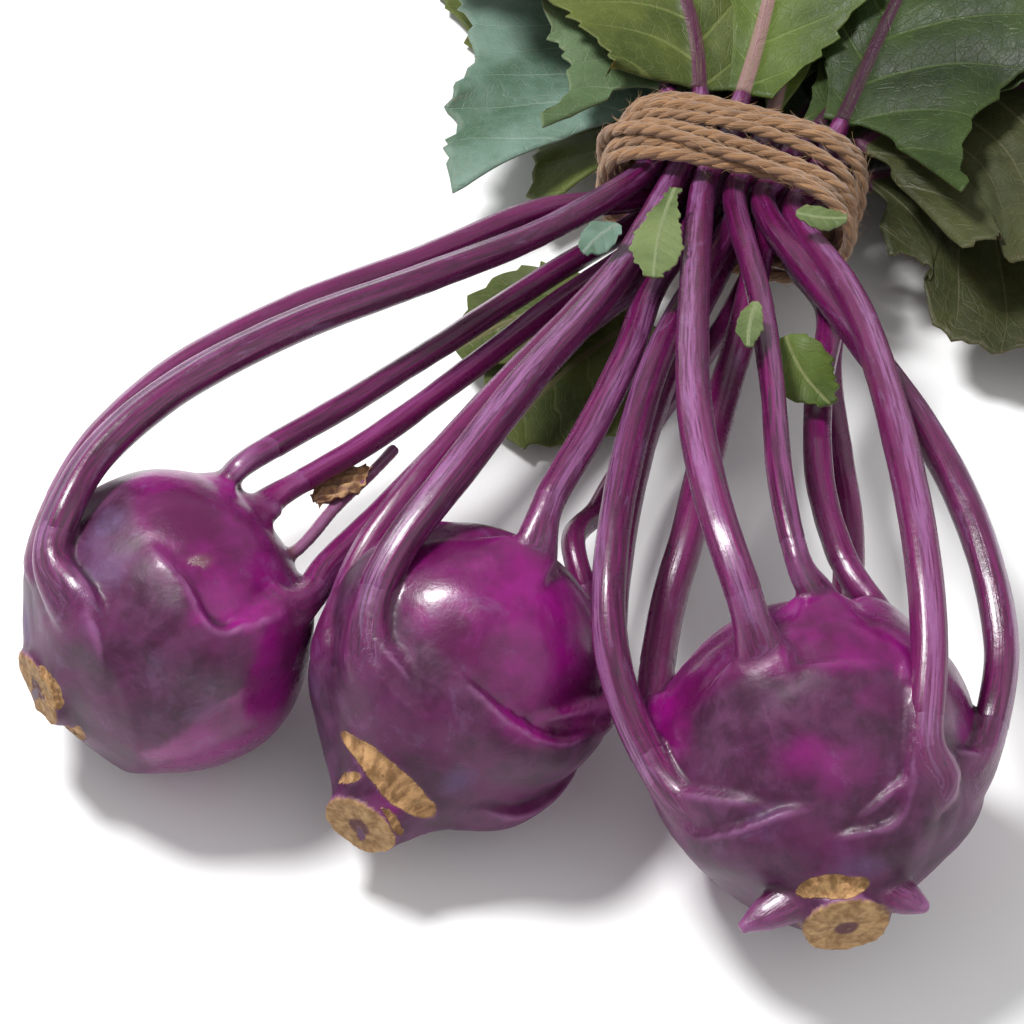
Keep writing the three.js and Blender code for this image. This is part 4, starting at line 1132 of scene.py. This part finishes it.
def twine_piece(material):
    path, along = twine_path()
    tangents, normals, sides = carried_frames(path, TIE_ALONG)
    parts, ply_place = [], []
    angle = 2 * np.pi * np.arange(PLY_SIDES) / PLY_SIDES
    for ply in range(PLIES):
        turn = 2 * np.pi * (along / PLY_LAY + ply / PLIES) + 0.9 * np.sin(along / 23)
        size = 1 + 0.13 * np.sin(along / 4.7 + ply * 2) + 0.07 * np.sin(along / 1.7 + ply) + 0.1 * np.sin(along / 37)
        out = sides * np.cos(turn)[:, None] + normals * np.sin(turn)[:, None]
        middle = path + out * 0.68
        ply_tangents, ply_normals, ply_sides = carried_frames(middle, out[0])
        radius = 1.18 * size
        ring = (
            middle[:, None]
            + ply_sides[:, None] * (np.cos(angle)[None, :] * radius[:, None])[..., None]
            - ply_normals[:, None] * (np.sin(angle)[None, :] * radius[:, None])[..., None]
        )
        parts.append((ring.reshape(-1, 3), tube_faces(len(path), PLY_SIDES)))
        place = np.stack([
            np.broadcast_to(np.cos(angle), ring.shape[:2]),
            np.broadcast_to(np.sin(angle), ring.shape[:2]),
            np.broadcast_to(along[:, None] + 40 * ply, ring.shape[:2]),
        ], -1)
        ply_place.append(place.reshape(-1, 3))
    fibre_points, fibre_faces = fibres(path, tangents, normals, sides)
    parts.append((fibre_points, fibre_faces))
    ply_place.append(np.tile([0.5, 0.5, 7.0], (len(fibre_points), 1)))
    points, faces = joined(parts)
    fibre = np.concatenate([np.zeros(len(points) - len(fibre_points)), np.ones(len(fibre_points))])
    return add_piece(
        "twine_plied", points, faces, material, ["twine"],
        {"ply": np.vstack(ply_place), "fibre": fibre}, inside=False,
    )


def fibres(path, tangents, normals, sides):
    """Short loose fibres that stand off the twine."""
    rng = random.Random(4)
    parts = []
    for _ in range(FIBRES):
        i = rng.randrange(len(path) - 2)
        a = rng.uniform(0, 2 * math.pi)
        out = sides[i] * math.cos(a) + normals[i] * math.sin(a)
        turn = -sides[i] * math.sin(a) + normals[i] * math.cos(a)
        way = tangents[i] * rng.choice((-1, 1))
        size = rng.uniform(1.5, 5.5)
        lift = rng.uniform(0.1, 0.55) * size
        curl = rng.uniform(-0.5, 0.5) * size
        points = []
        for k, part in enumerate((0, 0.35, 0.7, 1)):
            middle = (
                path[i] + out * (1.75 + lift * part ** 1.5) + way * size * part * (1 - 0.2 * part)
                + turn * curl * part * part
            )
            width = 0.07 * (1 - 0.75 * part)
            for corner in range(3):
                b = 2 * math.pi * corner / 3
                points.append(middle + out * width * math.cos(b) + turn * width * math.sin(b))
        parts.append((np.array(points), tube_faces(4, 3)))
    return joined(parts)


# Materials

def colour(red, green, blue):
    """A linear colour from one written as seen on a screen, 0 to 255."""
    def linear(c):
        c = c / 255
        return c / 12.92 if c <= 0.04045 else ((c + 0.055) / 1.055) ** 2.4
    return (linear(red), linear(green), linear(blue), 1)


class Shader:
    """Builds a material's nodes one by one."""

    def __init__(self, name):
        self.material = bpy.data.materials.new(name)
        self.material.use_nodes = True
        self.tree = self.material.node_tree
        self.surface = self.tree.nodes["Principled BSDF"]

    def node(self, kind, inputs=None, **settings):
        node = self.tree.nodes.new(kind)
        for key, value in settings.items():
            setattr(node, key, value)
        for key, value in (inputs or {}).items():
            self.put(node.inputs[key], value)
        return node

    def put(self, socket, value):
        if isinstance(value, bpy.types.NodeSocket):
            self.tree.links.new(value, socket)
        else:
            socket.default_value = value

    def attribute(self, name, field="Fac"):
        return self.node("ShaderNodeAttribute", attribute_name=name).outputs[field]

    def maths(self, operation, *values):
        node = self.node("ShaderNodeMath", operation=operation)
        for socket, value in zip(node.inputs, values):
            self.put(socket, value)
        return node.outputs[0]

    def blend(self, factor, a, b, mode="MIX"):
        node = self.node("ShaderNodeMix", data_type="RGBA", blend_type=mode)
        self.put(node.inputs[0], factor)
        self.put(node.inputs[6], a)
        self.put(node.inputs[7], b)
        return node.outputs[2]

    def span(self, value, low, high, to_low=0.0, to_high=1.0):
        """Value carried smoothly from one range to another."""
        node = self.node("ShaderNodeMapRange", interpolation_type="SMOOTHSTEP")
        for socket, number in zip(node.inputs, (value, low, high, to_low, to_high)):
            self.put(socket, number)
        return node.outputs[0]

    def noise(self, vector, scale, detail=3.0, rough=0.55, distortion=0.0):
        node = self.node("ShaderNodeTexNoise", {
            "Vector": vector, "Scale": scale, "Detail": detail, "Roughness": rough, "Distortion": distortion,
        })
        return node.outputs["Fac"]

    def cells(self, vector, scale, feature="F1"):
        node = self.node("ShaderNodeTexVoronoi", {"Vector": vector, "Scale": scale}, feature=feature)
        return node.outputs["Distance"]

    def stretched(self, vector, x, y, z):
        node = self.node("ShaderNodeVectorMath", operation="MULTIPLY")
        self.put(node.inputs[0], vector)
        node.inputs[1].default_value = (x, y, z)
        return node.outputs[0]

    def place(self):
        """The point in the object's own space, in metres."""
        return self.node("ShaderNodeTexCoord").outputs["Object"]

    def bump(self, height, distance, strength=1.0, before=None):
        node = self.node("ShaderNodeBump", {"Height": height, "Distance": distance, "Strength": strength})
        if before is not None:
            self.put(node.inputs["Normal"], before)
        return node.outputs[0]

    def finish(self, **inputs):
        for key, value in inputs.items():
            self.put(self.surface.inputs[key.replace("_", " ")], value)
        return self.material


def skin_material():
    """Purple kohlrabi skin: bright on the crown side, duller below the stalk bases, with wax, scars and cut root."""
    m = Shader("kohlrabi_skin")
    place = m.place()
    grain = m.attribute("grain", "Vector")
    stalk = m.attribute("stalk")
    along = m.attribute("along")
    haze = m.attribute("haze")
    wax = m.attribute("wax")
    scar = m.attribute("scar")
    cut = m.attribute("cut")
    hollow = m.attribute("hollow")
    tone = m.attribute("tone")
    chalk = m.attribute("chalk")
    flare = m.attribute("flare")

    broad = m.noise(place, 38, 4, 0.6)
    mottled = m.noise(place, 130, 5, 0.65, 0.4)
    speckled = m.noise(place, 620, 3, 0.6)
    streaks = m.noise(m.stretched(grain, 1.1, 1.1, 0.045), 1.5, 4, 0.6)
    fine_streaks = m.noise(m.stretched(grain, 3.2, 3.2, 0.11), 1.5, 3, 0.6)

    bulb = m.blend(m.span(broad, 0.36, 0.66), colour(76, 3, 58), colour(126, 8, 104))
    bulb = m.blend(m.span(mottled, 0.45, 0.75, 0, 0.4), bulb, colour(92, 10, 74))
    stem = m.blend(m.span(streaks, 0.35, 0.68), colour(54, 4, 40), colour(108, 14, 84))
    stem = m.blend(m.span(tone, 0, 1, 0, 0.55), stem, colour(118, 12, 88))
    stem = m.blend(m.span(along, 0.15, 1.1, 0, 0.4), stem, colour(70, 10, 50))
    strap = m.blend(m.span(streaks, 0.35, 0.7), colour(64, 14, 54), colour(106, 36, 94))
    stem = m.blend(m.span(flare, 0.2, 1, 0, 0.8), stem, strap)
    skin = m.blend(stalk, bulb, stem)

    dull = m.blend(m.span(mottled, 0.35, 0.7), colour(52, 15, 42), colour(86, 42, 76))
    dull = m.blend(m.span(broad, 0.42, 0.7, 0, 0.5), dull, colour(72, 15, 56))
    veil = m.maths("MULTIPLY", haze, m.span(broad, 0.68, 0.45, 0.78, 0.98))
    skin = m.blend(veil, skin, dull)

    powder = m.maths("MULTIPLY", wax, m.span(mottled, 0.3, 0.65, 0.35, 0.8))
    skin = m.blend(powder, skin, colour(88, 66, 104))
    lengthwise = m.stretched(grain, 0.3, 0.3, 0.045)
    on_stalk = m.maths("MULTIPLY", stalk, chalk)
    loose = m.span(m.noise(lengthwise, 1.0, 6, 0.7, 0.8), 0.54, 0.64, 0, 0.36)
    skin = m.blend(m.maths("MULTIPLY", loose, on_stalk), skin, colour(124, 88, 130))
    on_bulb = m.maths("MULTIPLY", m.span(stalk, 0, 1, 1, 0), m.span(m.noise(place, 75, 6, 0.7, 0.5), 0.56, 0.66, 0, 0.24))
    skin = m.blend(on_bulb, skin, colour(112, 84, 120))
    worn = m.span(m.noise(lengthwise, 2.3, 5, 0.65, 0.6), 0.6, 0.66, 0, 0.7)
    skin = m.blend(m.maths("MULTIPLY", worn, on_stalk), skin, colour(50, 8, 36))

    # Painted highlight: a pale streaky line along the top of each stalk
    outer = m.maths("MULTIPLY", m.span(m.attribute("outer"), 0.84, 1, 0, 0.46), m.span(streaks, 0.35, 0.6, 0.1, 1))
    skin = m.blend(m.maths("MULTIPLY", outer, m.span(chalk, 0, 1, 0.45, 1)), skin, colour(156, 110, 158))
    skin = m.blend(m.maths("MULTIPLY", m.attribute("dry"), 0.75), skin, colour(104, 72, 70))

    skin = m.blend(m.span(fine_streaks, 0.55, 0.8, 0, 0.16), skin, colour(124, 66, 116))
    skin = m.blend(m.span(speckled, 0.6, 0.78, 0, 0.3), skin, colour(56, 12, 44))
    # Painted shade: hollows, creases and the grooves along the stalks are darkened
    skin = m.blend(m.span(hollow, 0.05, 0.5, 0, 0.85), skin, colour(30, 5, 22))
    # Raised edges made paler: partly the paler rims of the leaf bases, partly a painted highlight
    skin = m.blend(m.span(hollow, -0.1, -0.45, 0, 0.6), skin, colour(140, 86, 132))

    cork = m.noise(m.stretched(grain, 0.22, 0.22, 0.9), 1.0, 4, 0.55)
    tan = m.blend(m.span(cork, 0.35, 0.68), colour(122, 88, 54), colour(188, 146, 100))
    tan = m.blend(m.span(m.noise(place, 240, 3), 0.52, 0.75, 0, 0.55), tan, colour(92, 78, 44))
    pits = m.span(m.cells(place, 330), 0.24, 0.1, 0, 0.85)
    pits = m.maths("MULTIPLY", pits, m.span(m.noise(place, 160), 0.52, 0.6))
    tan = m.blend(pits, tan, colour(40, 26, 24))
    skin = m.blend(m.span(scar, 0.3, 0.7), skin, tan)
    rings = m.noise(place, 420, 4, 0.6)
    pith = m.blend(m.span(rings, 0.3, 0.75), colour(124, 92, 56), colour(178, 144, 100))
    pith = m.blend(m.span(m.attribute("heart"), 0.2, 0.8, 0, 0.8), pith, colour(74, 30, 54))
    skin = m.blend(cut, skin, pith)

    corky = m.maths("MAXIMUM", m.span(scar, 0.3, 0.7), cut)
    shine = m.maths("ADD", m.span(haze, 0, 1, 0.28, 0.46), m.span(mottled, 0.3, 0.8, -0.04, 0.1))
    gloss = m.maths("MULTIPLY", m.span(haze, 0, 1, 0.2, 0.02), m.maths("SUBTRACT", 1.0, corky))
    gloss = m.maths("MULTIPLY", gloss, m.span(stalk, 0, 1, 1, 1.1))
    gloss = m.maths("MULTIPLY", gloss, m.span(powder, 0, 1, 1, 0.1))
    shine = m.maths("ADD", shine, m.span(powder, 0, 1, 0, 0.12))
    shine = m.blend(corky, shine, (0.8, 0.8, 0.8, 1))
    skin_bump = m.bump(m.maths("MULTIPLY", streaks, m.span(stalk, 0, 1, 0.1, 1)), 0.0004, 0.35)
    skin_bump = m.bump(mottled, 0.0006, 0.2, skin_bump)
    skin_bump = m.bump(speckled, 0.0002, 0.3, skin_bump)
    cork_height = m.maths("MULTIPLY", cork, corky)
    skin_bump = m.bump(cork_height, 0.0008, 0.7, skin_bump)
    return m.finish(
        Base_Color=skin, Roughness=shine, Normal=skin_bump, Specular_IOR_Level=m.span(stalk, 0, 1, 0.34, 0.5),
        Coat_Weight=gloss, Coat_Roughness=0.13, Sheen_Weight=0.04, Sheen_Roughness=0.5, Sheen_Tint=colour(190, 170, 220),
        Subsurface_Weight=0.05, Subsurface_Scale=0.004,
    )


def leaf_material(name, deep, light, under, rib, veins, rib_width=2.2, rough=0.46):
    """A leaf: two greens above, a paler green below, with its midrib and branching veins."""
    m = Shader(name)
    place = m.place()
    leaf = m.attribute("leaf", "Vector")
    parts = m.node("ShaderNodeSeparateXYZ", {"Vector": leaf})
    vein_place, wide, down = parts.outputs
    edge = m.attribute("edge")
    below = m.attribute("under")
    small = m.attribute("small")

    broad = m.noise(place, 28, 4, 0.6)
    mottled = m.noise(place, 160, 5, 0.65)
    green = m.blend(m.span(broad, 0.36, 0.66), deep, light)
    green = m.blend(m.span(mottled, 0.4, 0.75, 0, 0.35), green, light)
    pale = m.blend(m.span(mottled, 0.35, 0.7), under, light)
    pale = m.blend(0.7, pale, under)
    green = m.blend(below, green, pale)

    from_vein = m.maths("MULTIPLY", m.maths("PINGPONG", vein_place, 0.5), VEIN_PITCH * 0.78)
    vein_width = m.span(edge, 0, 1, 0.6, 0.13)
    side_vein = m.maths("SUBTRACT", 1.0, m.span(m.maths("DIVIDE", from_vein, vein_width), 0.4, 1.3))
    flat = m.node("ShaderNodeCombineXYZ", {"X": m.maths("MULTIPLY", vein_place, VEIN_PITCH), "Y": wide, "Z": 0.0})
    net = m.cells(flat.outputs[0], 0.3, "DISTANCE_TO_EDGE")
    net_line = m.span(net, 0.07, 0.015)
    small_net = m.span(m.cells(flat.outputs[0], 0.95, "DISTANCE_TO_EDGE"), 0.09, 0.02)
    green = m.blend(m.maths("MULTIPLY", net_line, 0.13), green, veins)
    green = m.blend(m.maths("MULTIPLY", small_net, 0.07), green, veins)
    green = m.blend(m.maths("MULTIPLY", side_vein, m.span(small, 0, 1, 0.5, 0.2)), green, veins)
    wedge = m.maths("SUBTRACT", rib_width, m.maths("MULTIPLY", down, 0.011))
    wedge = m.maths("MULTIPLY", wedge, m.span(small, 0, 1, 1, 0.22))
    midrib = m.maths("SUBTRACT", 1.0, m.span(m.maths("DIVIDE", wide, wedge), 0.75, 1.12))
    rib_streak = m.noise(m.stretched(leaf, 0, 2.5, 0.1), 1.0, 3)
    rib_tint = m.blend(m.span(rib_streak, 0.35, 0.7, 0, 0.3), rib, veins)
    green = m.blend(midrib, green, m.blend(m.span(small, 0, 1, 0, 0.85), rib_tint, veins))
    green = m.blend(m.span(edge, 0.96, 0.99, 0, 0.25), green, veins)

    height = m.maths("ADD", m.maths("MULTIPLY", net_line, -0.22), m.maths("MULTIPLY", small_net, -0.1))
    height = m.maths("ADD", height, m.maths("MULTIPLY", side_vein, -0.5))
    side = m.span(below, 0, 1, 1, -1)
    relief = m.bump(m.maths("MULTIPLY", height, side), 0.0005, 0.6)
    relief = m.bump(mottled, 0.0006, 0.35, relief)
    shine = m.span(mottled, 0.3, 0.7, rough - 0.06, rough + 0.1)
    return m.finish(
        Base_Color=green, Roughness=shine, Normal=relief, Specular_IOR_Level=0.24, Sheen_Weight=0.02,
        Sheen_Roughness=0.5, Subsurface_Weight=0.06, Subsurface_Scale=0.003,
    )


def dry_material():
    """Papery brown leaf with purple-grey remains."""
    m = Shader("dry_leaf")
    place = m.place()
    mottled = m.noise(place, 350, 5, 0.7)
    creases = m.noise(place, 900, 4, 0.7)
    tint = m.blend(m.span(mottled, 0.35, 0.65), colour(112, 78, 62), colour(176, 138, 96))
    tint = m.blend(m.span(creases, 0.5, 0.72, 0, 0.7), tint, colour(86, 52, 76))
    return m.finish(Base_Color=tint, Roughness=0.8, Normal=m.bump(creases, 0.0006, 0.7))


def twine_material():
    """Brown jute: fibres that run along each ply, lighter where they are loose."""
    m = Shader("twine")
    place = m.place()
    ply = m.attribute("ply", "Vector")
    strands = m.noise(m.stretched(ply, 3.4, 3.4, 0.16), 1.0, 4, 0.65)
    fine = m.noise(m.stretched(ply, 9, 9, 0.3), 1.0, 3, 0.6)
    patches = m.noise(place, 70, 3)
    tint = m.blend(m.span(strands, 0.32, 0.7), colour(84, 54, 28), colour(168, 122, 76))
    tint = m.blend(m.span(patches, 0.4, 0.65, 0, 0.5), tint, colour(134, 94, 56))
    tint = m.blend(m.span(fine, 0.55, 0.8, 0, 0.5), tint, colour(200, 158, 108))
    tint = m.blend(m.attribute("fibre"), tint, colour(186, 142, 96))
    relief = m.bump(strands, 0.0005, 0.8)
    relief = m.bump(fine, 0.0003, 0.7, relief)
    return m.finish(Base_Color=tint, Roughness=0.88, Normal=relief, Sheen_Weight=0.3, Sheen_Roughness=0.6)


# For each leaf colour: its deep and light green, its underside, its midrib and its veins
GREENS = {
    "blue": (colour(62, 88, 68), colour(104, 128, 116), colour(98, 116, 104), colour(82, 58, 76), colour(118, 136, 122)),
    "sage": (colour(58, 78, 44), colour(88, 108, 76), colour(90, 106, 78), colour(82, 50, 70), colour(112, 126, 94)),
    "olive": (colour(50, 62, 20), colour(82, 92, 38), colour(80, 92, 50), colour(72, 22, 56), colour(106, 114, 62)),
    "bright": (colour(46, 62, 16), colour(76, 92, 32), colour(80, 96, 50), colour(132, 100, 100), colour(100, 114, 60)),
    "dark": (colour(22, 34, 8), colour(44, 62, 18), colour(60, 70, 38), colour(54, 14, 42), colour(62, 78, 34)),
    "grey": (colour(38, 42, 18), colour(62, 66, 34), colour(74, 76, 48), colour(76, 32, 60), colour(86, 84, 58)),
    "pale": (colour(70, 86, 44), colour(104, 118, 72), colour(98, 112, 76), colour(98, 88, 76), colour(120, 132, 92)),
}
LEAF_COLOURS = {
    "leaf_top_1": "sage", "leaf_top_2": "olive", "leaf_top_3": "bright", "leaf_top_4": "bright",
    "leaf_top_5": "dark", "leaf_top_6": "dark", "leaf_middle_1": "blue", "leaf_middle_2": "olive",
    "leaf_bottom_1": "olive", "leaf_middle_5": "grey", "leaf_middle_6": "grey", "leaf_bottom_5": "grey",
    "leaf_bottom_6": "grey", "leaflet_left_pale": "pale", "leaflet_left_round": "blue",
    "leaflet_centre_pale": "pale", "leaflet_right_round": "bright", "leaflet_right_pale": "pale",
    "leaf_folded_under": "olive", "leaf_folded_left": "olive",
}


# Floor, lights and camera

def add_floor():
    mesh = mesh_of("floor", [(-3, -3, 0), (3, -3, 0), (3, 3, 0), (-3, 3, 0)], [(0, 1, 2, 3)])
    floor = bpy.data.objects.new("floor", mesh)
    bpy.context.scene.collection.objects.link(floor)
    m = Shader("floor")
    tone = m.blend(m.span(m.noise(m.place(), 14, 3), 0.3, 0.7), (0.84, 0.84, 0.84, 1), (0.87, 0.87, 0.87, 1))
    floor.data.materials.append(m.finish(Base_Color=tone, Roughness=0.7))


def add_light(name, place, size, power, tint=(1, 1, 1)):
    data = bpy.data.lights.new(name, "AREA")
    data.shape = "DISK"
    data.size = size
    data.energy = power
    data.color = tint
    light = bpy.data.objects.new(name, data)
    light.location = place
    light.rotation_mode = "QUATERNION"
    light.rotation_quaternion = (Vector(place) - Vector((0.03, 0.06, 0.03))).to_track_quat("Z", "Y")
    bpy.context.scene.collection.objects.link(light)


def add_lights():
    world = bpy.data.worlds.new("studio")
    bpy.context.scene.world = world
    world.use_nodes = True
    world.node_tree.nodes["Background"].inputs["Color"].default_value = (1, 1, 1, 1)
    world.node_tree.nodes["Background"].inputs["Strength"].default_value = 0.58
    add_light("key", (-0.35, 0.25, 1.0), 0.26, 14)
    add_light("fill", (0.9, -0.7, 0.9), 1.6, 4)


def add_camera():
    data = bpy.data.cameras.new("camera")
    data.lens = 126.5625
    data.sensor_width = 36
    data.clip_start = 0.01
    data.clip_end = 30
    camera = bpy.data.objects.new("camera", data)
    elevation = math.radians(50)
    distance = 0.9
    target = Vector((0.012, 0.053, 0.03))
    camera.location = target + distance * Vector((0, -math.cos(elevation), math.sin(elevation)))
    camera.rotation_euler = (math.pi / 2 - elevation, 0, 0)
    bpy.context.scene.collection.objects.link(camera)
    bpy.context.scene.camera = camera


# Assembly

add_camera()
add_lights()
add_floor()
bpy.context.scene.view_settings.view_transform = "Standard"

settled = settled_stalks()
skin = skin_material()
for bulb_name in BULBS:
    plant_piece(bulb_name, settled, skin)

greens = {name: leaf_material(f"leaf_{name}", *tints) for name, tints in GREENS.items()}
for index, one in enumerate(STALKS):
    leaf_name = f"leaf_{one['row']}_{one['column'] + 1}"
    top_row = one["row"] == "top"
    tint_name = LEAF_COLOURS.get(leaf_name, "dark")
    blade_piece(index, settled, greens[tint_name], 100 if top_row else 72, 36 if top_row else 25)
for leaflet_name in LEAFLETS:
    if leaflet_name.startswith("dry"):
        leaflet_piece(leaflet_name, dry_material())
    else:
        leaflet_piece(leaflet_name, greens[LEAF_COLOURS[leaflet_name]])
twine_piece(twine_material())
